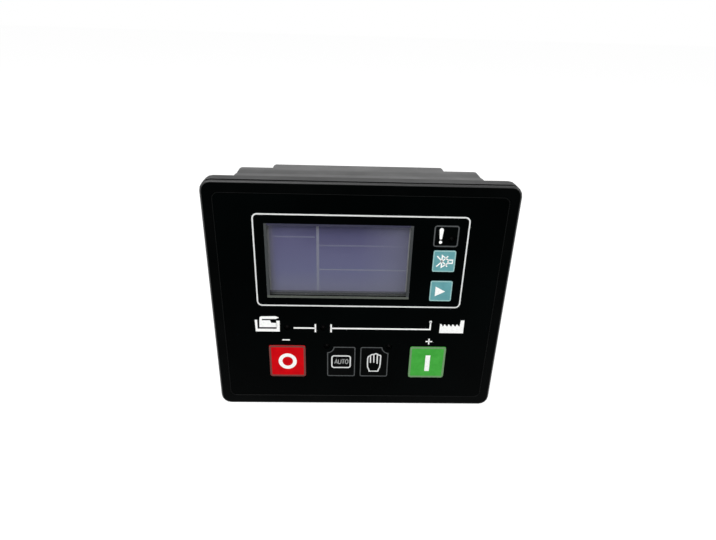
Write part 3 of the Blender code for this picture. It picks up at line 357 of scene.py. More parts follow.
MIMIC_LINE = 0.00076
MIMIC_HEIGHT = -0.0135
SOURCE_START, SOURCE_END = -0.0326, -0.02165
LOAD_START, LOAD_END = -0.0137, 0.0366
TICK_HALF = 0.0023
TICK_LOW, TICK_HIGH = MIMIC_HEIGHT - TICK_HALF, MIMIC_HEIGHT + TICK_HALF
CONTACT_TOP = -0.0092
CONTACT_RADIUS = 0.0007
mimic_lines = (
    [(SOURCE_START, MIMIC_HEIGHT), (SOURCE_END, MIMIC_HEIGHT)],
    [(SOURCE_END, TICK_LOW), (SOURCE_END, TICK_HIGH)],
    [(LOAD_START, TICK_LOW), (LOAD_START, TICK_HIGH)],
    [(LOAD_START, MIMIC_HEIGHT), (LOAD_END, MIMIC_HEIGHT), (LOAD_END, CONTACT_TOP)],
)
lay_ink(
    "mimic_line",
    [
        *[stroke(line, MIMIC_LINE) for line in mimic_lines],
        [circle((LOAD_END, CONTACT_TOP), CONTACT_RADIUS, 16)],
    ],
    FILM_FACE,
    WHITE_INK,
    "case",
)

SIGN_LINE = 0.00065
MINUS_MIDDLE = (-0.0366, -0.0205)
PLUS_MIDDLE = (0.0367, -0.0206)
MINUS_HALF, PLUS_HALF = 0.0019, 0.0017
minus_x, minus_z = MINUS_MIDDLE
plus_x, plus_z = PLUS_MIDDLE
sign_lines = (
    [(minus_x - MINUS_HALF, minus_z), (minus_x + MINUS_HALF, minus_z)],
    [(plus_x - PLUS_HALF, plus_z), (plus_x + PLUS_HALF, plus_z)],
    [(plus_x, plus_z - PLUS_HALF), (plus_x, plus_z + PLUS_HALF)],
)
lay_ink(
    "minus_and_plus",
    [stroke(line, SIGN_LINE) for line in sign_lines],
    FILM_FACE,
    WHITE_INK,
    "case",
)

# Generator picture: an engine block with its canopy on a base frame with two uprights.
GENERATOR_BASE = mm([
    (-51.9, -9.15), (-50.7, -9.15), (-50.7, -14.15), (-41.2, -14.1), (-41.2, -9.5), (-39.5, -9.5),
    (-39.65, -15.7), (-51.75, -15.7),
])
GENERATOR_BLOCK = mm([
    (-49.6, -9.3), (-44.25, -9.3), (-43.8, -10.7), (-41.0, -10.85), (-41.0, -13.2), (-49.8, -13.25),
])
GENERATOR_CANOPY = mm([
    (-49.4, -7.7), (-48.7, -7.15), (-41.3, -7.0), (-39.8, -7.75), (-41.3, -8.55), (-48.3, -8.6),
    (-48.3, -9.35), (-49.55, -9.35),
])
lay_ink(
    "generator_picture",
    [[GENERATOR_BASE], [GENERATOR_BLOCK], [GENERATOR_CANOPY]],
    FILM_FACE,
    WHITE_INK,
    "case",
)

# Load picture: a works hall with a saw-tooth roof and a chimney.
HALL_LEFT, HALL_RIGHT = 0.0415, 0.0538
HALL_LOW, EAVES, RIDGE, CHIMNEY_TOP = -0.0155, -0.0118, -0.0103, -0.0081
CHIMNEY_LEFT, CHIMNEY_FOOT, CHIMNEY_RIGHT = 0.0519, 0.0515, 0.0537
GABLE_RIGHT, FIRST_VALLEY = 0.0422, 0.0431
TOOTH = 0.0021
TOOTH_COUNT = 4
roof = [(HALL_LEFT, RIDGE), (GABLE_RIGHT, RIDGE)]
for tooth in range(TOOTH_COUNT):
    valley = FIRST_VALLEY + tooth * TOOTH
    roof += [(valley, EAVES), (valley + TOOTH / 3, RIDGE)]
roof += [(CHIMNEY_FOOT, EAVES), (CHIMNEY_LEFT, CHIMNEY_TOP), (CHIMNEY_RIGHT, CHIMNEY_TOP)]
lay_ink(
    "load_picture",
    [[[(HALL_RIGHT, HALL_LOW)] + roof[::-1] + [(HALL_LEFT, HALL_LOW)]]],
    FILM_FACE,
    WHITE_INK,
    "case",
)

# Alarm field: a thin grey box with an exclamation mark beside the alarm lamp.
ALARM_LEFT, ALARM_RIGHT = 0.0343, 0.0454
ALARM_LOW, ALARM_HIGH = 0.0311, 0.0409
ALARM_CORNER = 0.0010
ALARM_LINE = 0.0006
MARK_X, MARK_TOP, MARK_LOW, MARK_DOT = 0.0374, 0.0390, 0.0350, 0.0331
MARK_HEAD, MARK_FOOT, MARK_DOT_RADIUS = 0.0010, 0.0006, 0.00078
MARK_BAR = arc((MARK_X, MARK_TOP), MARK_HEAD, 0, 180) + arc((MARK_X, MARK_LOW), MARK_FOOT, 180, 360)
alarm_box = rounded_box(ALARM_LEFT, ALARM_RIGHT, ALARM_LOW, ALARM_HIGH, ALARM_CORNER)
lay_ink(
    "alarm_field",
    [stroke(alarm_box, ALARM_LINE, True)],
    FILM_FACE,
    GREY_INK,
    "case",
)
lay_ink(
    "alarm_mark",
    [[MARK_BAR], [circle((MARK_X, MARK_DOT), MARK_DOT_RADIUS, 20)]],
    FILM_FACE,
    WHITE_INK,
    "case",
)


# Recess edge: the small radius on the front frame's inner edge, all round the recess that holds the film.
# It is the same moulded ABS, a little worn by the film's die-cut edge, and draws only a faint line of light.
ARRIS_RADIUS = 0.0003
ARRIS_STEPS = 4
ARRIS_BITE = 0.0001
ARRIS_SINK = 0.00001
ARRIS_POLISH = 0.12
FILM_CORNER = 0.003
edge_abs = abs_finish(
    "recess_edge_abs", ABS_BLACK, ABS_WORN, FRAME_GRAIN_HEIGHT, FRAME_SHEEN, FRAME_ROUGHNESS
)
edge_shader = edge_abs.node_tree.nodes["Principled BSDF"]
edge_shader.inputs["Coat Weight"].default_value = ARRIS_POLISH
edge_shader.inputs["Coat Roughness"].default_value = POLISH_ROUGHNESS
edge_shader.inputs["Coat IOR"].default_value = ABS_IOR
film_low, film_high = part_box("front_film")[0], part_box("front_film")[1]
turns = [math.pi / 2 * step / ARRIS_STEPS for step in range(ARRIS_STEPS + 1)]
profile = [(ARRIS_RADIUS * math.sin(turn), ARRIS_RADIUS * (1 - math.cos(turn))) for turn in turns]
profile.append((0.0, ARRIS_RADIUS))
mesh = bmesh.new()
rings = []
for inset, sink in profile:
    reach = ARRIS_BITE - inset
    left, right = film_low.x - reach, film_high.x + reach
    low, high = film_low.z - reach, film_high.z + reach
    depth = FRAME_FACE + sink + ARRIS_SINK
    outline = rounded_box(left, right, low, high, FILM_CORNER + reach)
    rings.append([mesh.verts.new((x, depth, z)) for x, z in outline])
for ring, following in zip(rings, rings[1:] + rings[:1]):
    for i in range(len(ring)):
        j = (i + 1) % len(ring)
        mesh.faces.new((ring[i], ring[j], following[j], following[i]))
bmesh.ops.recalc_face_normals(mesh, faces=mesh.faces)
arris_mesh = bpy.data.meshes.new("recess_edge")
mesh.to_mesh(arris_mesh)
mesh.free()
arris_mesh.materials.append(edge_abs)
arris = bpy.data.objects.new("recess_edge", arris_mesh)
bpy.context.scene.collection.objects.link(arris)
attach(arris, "case")


# Display window: a clear acrylic pane in the film's opening, flush with the film and polished on both faces.
# It lets the display show through and adds only a faint gloss.
window, tree, shader, place = start_finish(
    "clear_acrylic_pane",
    {"Base Color": linear("#101114"), "IOR": 1.49, "Specular IOR Level": 0.25, "Alpha": 0.1},
)
WIPE_MARK = 0.012
WIPED_CLEAN, WIPED_HAZY = 0.04, 0.12
wipe_marks = add_node(tree, "ShaderNodeTexNoise", {"Scale": 1 / WIPE_MARK, "Detail": 4.0}, {"Vector": place})
wipe_rough = add_node(
    tree,
    "ShaderNodeMapRange",
    {"From Min": 0.35, "From Max": 0.75, "To Min": WIPED_CLEAN, "To Max": WIPED_HAZY},
    {"Value": wipe_marks.outputs["Fac"]},
)
tree.links.new(wipe_rough.outputs["Result"], shader.inputs["Roughness"])
cover(window, "display_window")

# A printed border hides the ledge that the pane rests on. Its grey sides and lighter foot are painted light
# on the well's walls and ledge; its violet-grey head is painted shade.
PANE_LOW, PANE_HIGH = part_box("display_window")[0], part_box("display_window")[1]
PANE_GAP = 0.00008
SIDE_BORDER, LOW_BORDER, TOP_BORDER = 0.00145, 0.0013, 0.0010
THIN_INK = 0.00002
PAINTED_LIT_WALL_INK = ink_finish("painted_lit_wall_ink", "#393c3d", "#343738")
PAINTED_LIT_LEDGE_INK = ink_finish("painted_lit_ledge_ink", "#525650", "#4b4f4a")
PAINTED_SHADE_HEAD_INK = ink_finish("painted_shade_head_ink", "#313144", "#2d2d3f")
left, right = PANE_LOW.x + PANE_GAP, PANE_HIGH.x - PANE_GAP
low, high = PANE_LOW.z + PANE_GAP, PANE_HIGH.z - PANE_GAP
inner_left, inner_right = PANE_LOW.x + SIDE_BORDER, PANE_HIGH.x - SIDE_BORDER
foot_high, head_low = PANE_LOW.z + LOW_BORDER, PANE_HIGH.z - TOP_BORDER
side_strips = [[box_line(left, inner_left, foot_high, high)], [box_line(inner_right, right, foot_high, high)]]
# Sides and foot are painted light, the head is painted shade.
for side, strips, border_ink in (
    ("sides", side_strips, PAINTED_LIT_WALL_INK),
    ("foot", [[box_line(left, right, low, foot_high)]], PAINTED_LIT_LEDGE_INK),
    ("head", [[box_line(inner_left, inner_right, head_low, high)]], PAINTED_SHADE_HEAD_INK),
):
    lay_ink(f"painted_light_and_shade_border_{side}", strips, PANE_LOW.y, border_ink, "case", THIN_INK)


# Display: a liquid crystal cell between two polarisers, held in a moulded grey frame and lit from behind.
# Switched off, the cell is a matt violet-grey field, with painted shade towards its top and painted light
# towards its sides.
# The layout's thin light lines still show on it.
CELL_LOW, CELL_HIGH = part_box("lcd_glass")[0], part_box("lcd_glass")[1]
CELL_FACE = CELL_LOW.y
# The stops darken the cell towards its top: painted shade.
CELL_COLOURS_WITH_PAINTED_SHADE = [(0.0, "#7d7f96"), (0.35, "#6e7093"), (0.75, "#66658a"), (1.0, "#57577a")]
PIXEL_PITCH = 0.00052
# A darker violet patch over the middle of the cell's top: painted shadow.
SHADOW_MIDDLE = (-0.008, CELL_FACE, CELL_HIGH.z)
SHADOW_REACH = (0.028, 0.05, 0.016)
SHADOW_SHADE = "#33325a"
SHADOW_STRENGTH = 0.55
# A lighter colour mixed in towards the cell's right side: painted light.
PAINTED_RIGHT_LIGHT_COLOUR = "#868896"
PAINTED_RIGHT_LIGHT_SHARE = 0.45
# A lighter colour mixed in along the cell's left edge: painted light.
PAINTED_EDGE_LIGHT_COLOUR = "#9596a2"
PAINTED_EDGE_LIGHT_SHARE = 0.75
PAINTED_EDGE_LIGHT_WIDTH = 0.0035
cell, tree, shader, place = start_finish(
    "polarised_display_cell", {"Roughness": 0.38, "IOR": 1.5, "Specular IOR Level": 0.2}
)
parts_of_place = add_node(tree, "ShaderNodeSeparateXYZ", links={"Vector": place})
height_on_cell = add_node(
    tree,
    "ShaderNodeMapRange",
    {"From Min": CELL_LOW.z, "From Max": CELL_HIGH.z},
    {"Value": parts_of_place.outputs["Z"]},
)
field = add_node(
    tree, "ShaderNodeValToRGB", links={"Fac": height_on_cell.outputs["Result"]}, stops=CELL_COLOURS_WITH_PAINTED_SHADE
)
shadow_centre = add_node(
    tree,
    "ShaderNodeMapping",
    {"vector_type": "TEXTURE", "Location": SHADOW_MIDDLE, "Scale": SHADOW_REACH},
    {"Vector": place},
)
shadow = add_node(
    tree, "ShaderNodeTexGradient", {"gradient_type": "SPHERICAL"}, {"Vector": shadow_centre.outputs["Vector"]}
)
shadow_share = add_node(
    tree, "ShaderNodeMath", {"operation": "MULTIPLY", 1: SHADOW_STRENGTH}, {0: shadow.outputs["Fac"]}
)
dimmed = add_node(
    tree,
    "ShaderNodeMix",
    {"data_type": "RGBA", 7: linear(SHADOW_SHADE)},
    {0: shadow_share.outputs["Value"], 6: field.outputs["Color"]},
)
# Painted light: the cell grows lighter towards its right side.
painted_right_light_mask = add_node(
    tree,
    "ShaderNodeMapRange",
    {"From Min": 0.0, "From Max": CELL_HIGH.x, "To Max": PAINTED_RIGHT_LIGHT_SHARE},
    {"Value": parts_of_place.outputs["X"]},
)
painted_right_light_mix = add_node(
    tree,
    "ShaderNodeMix",
    {"data_type": "RGBA", 7: linear(PAINTED_RIGHT_LIGHT_COLOUR)},
    {0: painted_right_light_mask.outputs["Result"], 6: dimmed.outputs[2]},
)
painted_edge_light_end = CELL_LOW.x + PAINTED_EDGE_LIGHT_WIDTH
# Painted light along the cell's left edge, strongest at the edge itself.
painted_edge_light_mask = add_node(
    tree,
    "ShaderNodeMapRange",
    {"From Min": CELL_LOW.x, "From Max": painted_edge_light_end, "To Min": PAINTED_EDGE_LIGHT_SHARE, "To Max": 0.0},
    {"Value": parts_of_place.outputs["X"]},
)
painted_edge_light_mix = add_node(
    tree,
    "ShaderNodeMix",
    {"data_type": "RGBA", 7: linear(PAINTED_EDGE_LIGHT_COLOUR)},
    {0: painted_edge_light_mask.outputs["Result"], 6: painted_right_light_mix.outputs[2]},
)
pixels = add_node(
    tree,
    "ShaderNodeTexBrick",
    {
        "offset": 0.0,
        "Scale": 1.0,
        "Brick Width": PIXEL_PITCH,
        "Row Height": PIXEL_PITCH,
        "Mortar Size": PIXEL_PITCH / 14,
        "Color1": (1, 1, 1, 1),
        "Color2": (1, 1, 1, 1),
        "Mortar": (0.93, 0.93, 0.93, 1),
    },
)
flat_place = add_node(
    tree, "ShaderNodeCombineXYZ", links={"X": parts_of_place.outputs["X"], "Y": parts_of_place.outputs["Z"]}
)
tree.links.new(flat_place.outputs["Vector"], pixels.inputs["Vector"])
ruled = add_node(
    tree,
    "ShaderNodeMix",
    {"data_type": "RGBA", "blend_type": "MULTIPLY", 0: 1.0},
    {6: painted_edge_light_mix.outputs[2], 7: pixels.outputs["Color"]},
)
tree.links.new(ruled.outputs[2], shader.inputs["Base Color"])
cover(cell, "lcd_glass")

LAYOUT_LINE = 0.0006
MAIN_RULE_LINE = 0.0013
LEFT_EDGE, RIGHT_EDGE, FOOT_EDGE = 0.0009, 0.0006, 0.0011
ACTIVE_LEFT, ACTIVE_RIGHT = CELL_LOW.x + LEFT_EDGE, CELL_HIGH.x - RIGHT_EDGE
ACTIVE_LOW, ACTIVE_HIGH = CELL_LOW.z + FOOT_EDGE, CELL_HIGH.z
LEFT_RULE_START, LEFT_RULE_END = -0.0408, -0.0216
MAIN_RULE = -0.0203
LEFT_RULE = 0.0329
UPPER_RULE, LOWER_RULE = 0.0288, 0.0165
LAYOUT_INK = ink_finish("light_display_lines", "#898c9d", "#808394")
FAINT_INK = ink_finish("faint_display_lines", "#7b7d95", "#72748c")
# The next ink is for the pale strips at the cell's sides, which are painted light.
PAINTED_SIDE_LIGHT_INK = ink_finish("painted_side_light_ink", "#9a9b9f", "#909196")
FOOT_INK = ink_finish("dim_display_edge", "#64656e", "#5c5d66")
lay_ink(
    "display_rules",
    [
        stroke([(MAIN_RULE, ACTIVE_LOW), (MAIN_RULE, ACTIVE_HIGH)], MAIN_RULE_LINE),
        stroke([(MAIN_RULE, LOWER_RULE), (ACTIVE_RIGHT, LOWER_RULE)], LAYOUT_LINE),
    ],
    CELL_FACE,
    LAYOUT_INK,
    "case",
    THIN_INK,
)
lay_ink(
    "faint_display_rules",
    [
        stroke([(LEFT_RULE_START, LEFT_RULE), (LEFT_RULE_END, LEFT_RULE)], LAYOUT_LINE),
        stroke([(MAIN_RULE + MAIN_RULE_LINE / 2, UPPER_RULE), (ACTIVE_RIGHT, UPPER_RULE)], LAYOUT_LINE),
    ],
    CELL_FACE,
    FAINT_INK,
    "case",
    THIN_INK,
)
# Pale strips down both sides of the cell: painted light.
lay_ink(
    "painted_side_light_strips",
    [
        [box_line(CELL_LOW.x, ACTIVE_LEFT, ACTIVE_LOW, ACTIVE_HIGH)],
        [box_line(ACTIVE_RIGHT, CELL_HIGH.x, ACTIVE_LOW, ACTIVE_HIGH)],
    ],
    CELL_FACE,
    PAINTED_SIDE_LIGHT_INK,
    "case",
    THIN_INK,
)
lay_ink(
    "display_foot",
    [[box_line(CELL_LOW.x, CELL_HIGH.x, CELL_LOW.z, ACTIVE_LOW)]],
    CELL_FACE,
    FOOT_INK,
    "case",
    THIN_INK,
)

holder, tree, shader, place = start_finish(
    "satin_grey_polycarbonate", {"Roughness": 0.45, "IOR": 1.58, "Specular IOR Level": 0.3}
)
MOULD_HAZE = 0.006
mould_haze = add_node(tree, "ShaderNodeTexNoise", {"Scale": 1 / MOULD_HAZE, "Detail": 3.0}, {"Vector": place})
colour = add_node(
    tree,
    "ShaderNodeValToRGB",
    links={"Fac": mould_haze.outputs["Fac"]},
    stops=[(0.3, "#545856"), (0.7, "#5e6260")],
)
tree.links.new(colour.outputs["Color"], shader.inputs["Base Color"])
cover(holder, "lcd_frame")

guide, tree, shader, place = start_finish(
    "white_light_guide", {"Roughness": 0.3, "IOR": 1.49, "Subsurface Weight": 0.2, "Subsurface Scale": 0.002}
)
GUIDE_DOT_PITCH = 0.001
dots = add_node(tree, "ShaderNodeTexVoronoi", {"Scale": 1 / GUIDE_DOT_PITCH}, {"Vector": place})
colour = add_node(
    tree,
    "ShaderNodeValToRGB",
    links={"Fac": dots.outputs["Distance"]},
    stops=[(0.2, "#ffffff"), (0.5, "#e4e6e8")],
)
tree.links.new(colour.outputs["Color"], shader.inputs["Base Color"])
cover(guide, "backlight")


# Keys: six caps of coloured acrylic under the same hard coat as the film, a little proud of it.
# Stop is red, start green, mute and page teal, auto and manual black. Switches behind them spring them back.
# Each has a thin keyline and a printed sign.
KEY_MOTTLE = 0.004


def key_finish(name, deep, bright):
    """Printed key cap: saturated and matt, with the faint cloudiness of ink seen through a hard coat."""
    matt = {"Roughness": 0.45, "IOR": 1.49, "Specular IOR Level": 0.3, "Specular Tint": linear("#404040")}
    material, tree, shader, place = start_finish(name, matt)
    cloud = add_node(tree, "ShaderNodeTexNoise", {"Scale": 1 / KEY_MOTTLE, "Detail": 3.0}, {"Vector": place})
    fine = {"Scale": 1 / FILM_ORANGE_PEEL, "Detail": 1.0}
    peel = add_node(tree, "ShaderNodeTexNoise", fine, {"Vector": place})
    colour = add_node(
        tree, "ShaderNodeValToRGB", links={"Fac": cloud.outputs["Fac"]}, stops=[(0.3, deep), (0.65, bright)]
    )
    bump = add_node(
        tree,
        "ShaderNodeBump",
        {"Strength": 0.15, "Distance": FILM_PEEL_HEIGHT},
        {"Height": peel.outputs["Fac"]},
    )
    tree.links.new(colour.outputs["Color"], shader.inputs["Base Color"])
    tree.links.new(bump.outputs["Normal"], shader.inputs["Normal"])
    return material


cover(key_finish("red_key_cap", "#c20712", "#d10913"), "stop_key")
cover(key_finish("green_key_cap", "#3d9c3a", "#48a944"), "start_key")
cover(film_finish("black_key_cap", "#050606", "#090a0a"), "auto_key", "manual_key")
cover(key_finish("teal_key_cap", "#60989e", "#6aa3a8"), "mute_key", "page_key")
KEY_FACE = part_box("stop_key")[0].y
KEYLINE = 0.0005
WIDE_KEYLINE = 0.0010
RED_KEYLINE = ink_finish("red_keyline_ink", "#703b37", "#653330")
GREEN_KEYLINE = ink_finish("green_keyline_ink", "#6f9269", "#64875f")
TEAL_KEYLINE = ink_finish("teal_keyline_ink", "#9cc4c2", "#90b8b6")


def key_sign(name, shapes, body, material=WHITE_INK):
    """Ink on the face of a key, which travels with it."""
    lay_ink(name, shapes, KEY_FACE, material, body)


def square_keyline(middle, size, width):
    """The keyline just inside the edge of a square key."""
    half = size / 2 - width / 2
    x, z = middle
    return [stroke(rounded_box(x - half, x + half, z - half, z + half, width), width, True)]


MAIN_KEY = 0.0187
STOP_MIDDLE = (-0.0362, -0.0331)
START_MIDDLE = (0.0367, -0.0331)
STOP_RING, STOP_HOLE = 0.0047, 0.00275
stop_ring = [circle(STOP_MIDDLE, STOP_RING, 48), circle(STOP_MIDDLE, STOP_HOLE, 40)]
stop_edge = square_keyline(STOP_MIDDLE, MAIN_KEY, WIDE_KEYLINE)
start_edge = square_keyline(START_MIDDLE, MAIN_KEY, WIDE_KEYLINE)
key_sign("stop_keyline", stop_edge, "stop_button", RED_KEYLINE)
key_sign("stop_sign", [stop_ring], "stop_button")
key_sign("start_keyline", start_edge, "start_button", GREEN_KEYLINE)
START_BAR_LEFT, START_BAR_RIGHT = 0.0357, 0.0382
START_BAR_LOW, START_BAR_HIGH = -0.0384, -0.0288
key_sign(
    "start_sign",
    [[box_line(START_BAR_LEFT, START_BAR_RIGHT, START_BAR_LOW, START_BAR_HIGH)]],
    "start_button",
)

# Auto and manual keys: black, each with a bite out of its outer upper corner for a lamp.
MODE_LEFT, MODE_RIGHT = -0.0154, -0.0013
MODE_LOW, MODE_HIGH = -0.04185, -0.0244
BITE_MIDDLE_X, BITE_MIDDLE_Z, BITE_RADIUS = -0.0158, -0.0241, 0.0037
KEY_PAIR_MIDDLE = 0.00025
MODE_KEYLINE = 0.0005
MODE_CORNER = 0.0007
bite_start = math.degrees(math.asin((MODE_HIGH - BITE_MIDDLE_Z) / BITE_RADIUS))
bite_end = math.degrees(-math.acos((MODE_LEFT - BITE_MIDDLE_X) / BITE_RADIUS))
auto_keyline = (
    arc((MODE_LEFT + MODE_CORNER, MODE_LOW + MODE_CORNER), MODE_CORNER, 180, 270, 3)
    + arc((MODE_RIGHT - MODE_CORNER, MODE_LOW + MODE_CORNER), MODE_CORNER, -90, 0, 3)
    + arc((MODE_RIGHT - MODE_CORNER, MODE_HIGH - MODE_CORNER), MODE_CORNER, 0, 90, 3)
    + arc((BITE_MIDDLE_X, BITE_MIDDLE_Z), BITE_RADIUS, bite_start, bite_end, 6)
)


def mirrored(points):
    """The same outline on the other key of the pair."""
    return [(2 * KEY_PAIR_MIDDLE - x, z) for x, z in points]


key_sign("auto_keyline", [stroke(auto_keyline, MODE_KEYLINE, True)], "auto_button", GREY_INK)
key_sign("manual_keyline", [stroke(mirrored(auto_keyline), MODE_KEYLINE, True)], "manual_button", GREY_INK)

AUTO_LINE = 0.00066
AUTO_LEFT, AUTO_RIGHT = -0.0132, -0.0036
AUTO_LOW, AUTO_HIGH = -0.0367, -0.0296
AUTO_CORNER = 0.0012
auto_box = rounded_box(AUTO_LEFT, AUTO_RIGHT, AUTO_LOW, AUTO_HIGH, AUTO_CORNER)
key_sign("auto_box", [stroke(auto_box, AUTO_LINE, True)], "auto_button", LINE_INK)

LETTER_LOW, LETTER_HIGH = -0.0343, -0.0318
LETTER_WIDTH, LETTER_STEP, LETTER_START = 0.0014, 0.00183, -0.01175
LETTER_SLANT = 0.12
LETTER_LINE = 0.00042
LETTERS = {
    "A": [[(0, 0), (0.5, 1), (1, 0)], [(0.2, 0.35), (0.8, 0.35)]],
    "U": [[(0, 1), (0, 0.2), (0.25, 0), (0.75, 0), (1, 0.2), (1, 1)]],
    "T": [[(0, 1), (1, 1)], [(0.5, 1), (0.5, 0)]],
    "O": [[(0.3, 0), (0.7, 0), (1, 0.25), (1, 0.75), (0.7, 1), (0.3, 1), (0, 0.75), (0, 0.25), (0.3, 0)]],
}
auto_letters = []
for place_in_word, letter in enumerate("AUTO"):
    for line in LETTERS[letter]:
        letter_left = LETTER_START + place_in_word * LETTER_STEP
        rise = LETTER_HIGH - LETTER_LOW
        slanted = [(u + LETTER_SLANT * v, v) for u, v in line]
        drawn = [(letter_left + u * LETTER_WIDTH, LETTER_LOW + v * rise) for u, v in slanted]
        auto_letters.append(stroke(drawn, LETTER_LINE))
SOFT_WHITE_INK = ink_finish("thin_white_ink", "#a4a6a5", "#929493")
key_sign("auto_word", auto_letters, "auto_button", SOFT_WHITE_INK)

HAND_LINE = 0.00062
HAND_OUTLINE = mm([
    (6.49, -38.8), (6.26, -37.64), (5.62, -36.43), (5.48, -34.79), (5.48, -33.0), (5.48, -30.97),
    (5.68, -30.1), (6.16, -29.57), (6.65, -29.42), (7.13, -28.84), (7.88, -28.55), (8.62, -28.55),
    (9.1, -28.21), (9.66, -28.07), (10.23, -28.21), (10.89, -28.74), (11.51, -28.94), (12.02, -29.03),
    (12.26, -29.42), (12.22, -30.58), (12.18, -32.32), (12.1, -34.74), (11.94, -36.38), (11.41, -37.45),
    (11.12, -38.8),
])
FINGER_GAPS = [
    mm([(6.9, -29.5), (7.0, -33.7)]),
    mm([(8.62, -28.7), (8.77, -33.5)]),
    mm([(10.43, -28.9), (10.53, -34.2)]),
]
key_sign(
    "manual_sign",
    [stroke(HAND_OUTLINE, HAND_LINE, True)] + [stroke(gap, HAND_LINE) for gap in FINGER_GAPS],
    "manual_button",
    LINE_INK,
)

SIDE_KEY = 0.0107
MUTE_MIDDLE = (0.0400, 0.0237)
PAGE_MIDDLE = (0.0400, 0.0081)
mute_edge = square_keyline(MUTE_MIDDLE, SIDE_KEY, KEYLINE)
page_edge = square_keyline(PAGE_MIDDLE, SIDE_KEY, KEYLINE)
key_sign("mute_keyline", mute_edge, "mute_button", TEAL_KEYLINE)
key_sign("page_keyline", page_edge, "page_button", TEAL_KEYLINE)
HORN_LINE = 0.0006
HORN = mm([(38.9, 26.6), (41.9, 24.4), (44.05, 24.4), (44.05, 22.75), (41.9, 22.75), (38.9, 20.7)])
HORN_SEAM = mm([(41.9, 24.4), (41.9, 22.75)])
CROSS = [mm([(36.45, 26.35), (41.7, 21.0)]), mm([(36.45, 20.95), (41.7, 26.3)])]
key_sign(
    "mute_sign",
    [stroke(HORN, HORN_LINE, True), stroke(HORN_SEAM, HORN_LINE)] + [stroke(arm, HORN_LINE) for arm in CROSS],
    "mute_button",
)
key_sign("page_sign", [[mm([(37.2, 5.3), (42.1, 7.9), (37.2, 10.55)])]], "page_button")


# Lamps: five light-emitting diodes in tinted epoxy, standing through the film from the display board.
# Unlit, they are dark and glassy and show only a small glint.
RESIN_CLOUD = 0.001
lamp, tree, shader, place = start_finish(
    "tinted_epoxy_lamp",
    {
        "Roughness": 0.4,
        "IOR": 1.53,
        "Specular Tint": linear("#303030"),
        "Subsurface Weight": 0.1,
        "Subsurface Scale": 0.001,
    },
)
cloud_shape = {"Scale": 1 / RESIN_CLOUD, "Detail": 2.0}
resin_cloud = add_node(tree, "ShaderNodeTexNoise", cloud_shape, {"Vector": place})
colour = add_node(
    tree,
    "ShaderNodeValToRGB",
    links={"Fac": resin_cloud.outputs["Fac"]},
    stops=[(0.3, "#050606"), (0.7, "#0c0b0b")],
)
tree.links.new(colour.outputs["Color"], shader.inputs["Base Color"])
cover(lamp, "alarm_lamp", "supply_lamp", "load_lamp", "auto_lamp", "manual_lamp")


# Switches and plungers: short-travel tact switches soldered under the keys, and the plungers that work them.
# They are moulded in filled nylon, dull black for the switch and natural for the plunger.
SKIN_HEIGHT = 0.00002


def moulded_finish(name, deep, bright, roughness, grain):
    """Moulded engineering plastic: even colour with slight flow shading and a fine skin."""
    plastic = {"Roughness": roughness, "IOR": 1.53, "Specular IOR Level": 0.4}
    material, tree, shader, place = start_finish(name, plastic)
    skin = add_node(tree, "ShaderNodeTexNoise", {"Scale": 1 / grain, "Detail": 3.0}, {"Vector": place})
    colour = add_node(
        tree, "ShaderNodeValToRGB", links={"Fac": skin.outputs["Fac"]}, stops=[(0.3, deep), (0.7, bright)]
    )
    bump = add_node(
        tree, "ShaderNodeBump", {"Strength": 0.25, "Distance": SKIN_HEIGHT}, {"Height": skin.outputs["Fac"]}
    )
    tree.links.new(colour.outputs["Color"], shader.inputs["Base Color"])
    tree.links.new(bump.outputs["Normal"], shader.inputs["Normal"])
    return material


KEYS = ("stop", "start", "auto", "manual", "mute", "page")
switch_nylon = moulded_finish("filled_nylon_switch", "#1d1e1f", "#292a2b", 0.5, 0.0008)
plunger_nylon = moulded_finish("natural_nylon_plunger", "#d6d2c6", "#e2dfd5", 0.45, 0.0015)
cover(switch_nylon, *[f"{key}_switch" for key in KEYS])
cover(plunger_nylon, *[f"{key}_plunger" for key in KEYS])


# Boards: two plates of glass-epoxy laminate with a glossy green solder mask over copper, one behind the
# keys and one with the terminals and relays. Tracks show beneath the mask as slightly lighter bands.
# Tracks and weave are drawn a few times coarser than the real ones.
WEAVE_PITCH = 0.0006
WEAVE_HEIGHT = 0.00002
TRACK_PITCH = 0.0035
laminate, tree, shader, place = start_finish(
    "masked_board_laminate", {"Roughness": 0.32, "IOR": 1.5, "Specular IOR Level": 0.45}
)
tracks = add_node(
    tree,
    "ShaderNodeTexBrick",
    {
        "Scale": 1.0,
        "Brick Width": TRACK_PITCH * 3,
        "Row Height": TRACK_PITCH,
        "Mortar Size": TRACK_PITCH / 8,
        "Color1": linear("#0f4a2c"),
        "Color2": linear("#11502f"),
        "Mortar": linear("#1b6a40"),
    },
)
board_place = add_node(tree, "ShaderNodeSeparateXYZ", links={"Vector": place})
board_flat = add_node(
    tree, "ShaderNodeCombineXYZ", links={"X": board_place.outputs["X"], "Y": board_place.outputs["Z"]}
)
tree.links.new(board_flat.outputs["Vector"], tracks.inputs["Vector"])
weave = add_node(
    tree, "ShaderNodeTexWave", {"Scale": 1 / (WEAVE_PITCH * 20), "Distortion": 1.0}, {"Vector": place}
)
weave_bump = add_node(
    tree, "ShaderNodeBump", {"Strength": 0.1, "Distance": WEAVE_HEIGHT}, {"Height": weave.outputs["Fac"]}
)
tree.links.new(tracks.outputs["Color"], shader.inputs["Base Color"])
tree.links.new(weave_bump.outputs["Normal"], shader.inputs["Normal"])
cover(laminate, "display_board", "main_board")
cover(moulded_finish("black_nylon_header", "#17181a", "#222325", 0.48, 0.001), "link_header", "link_socket")


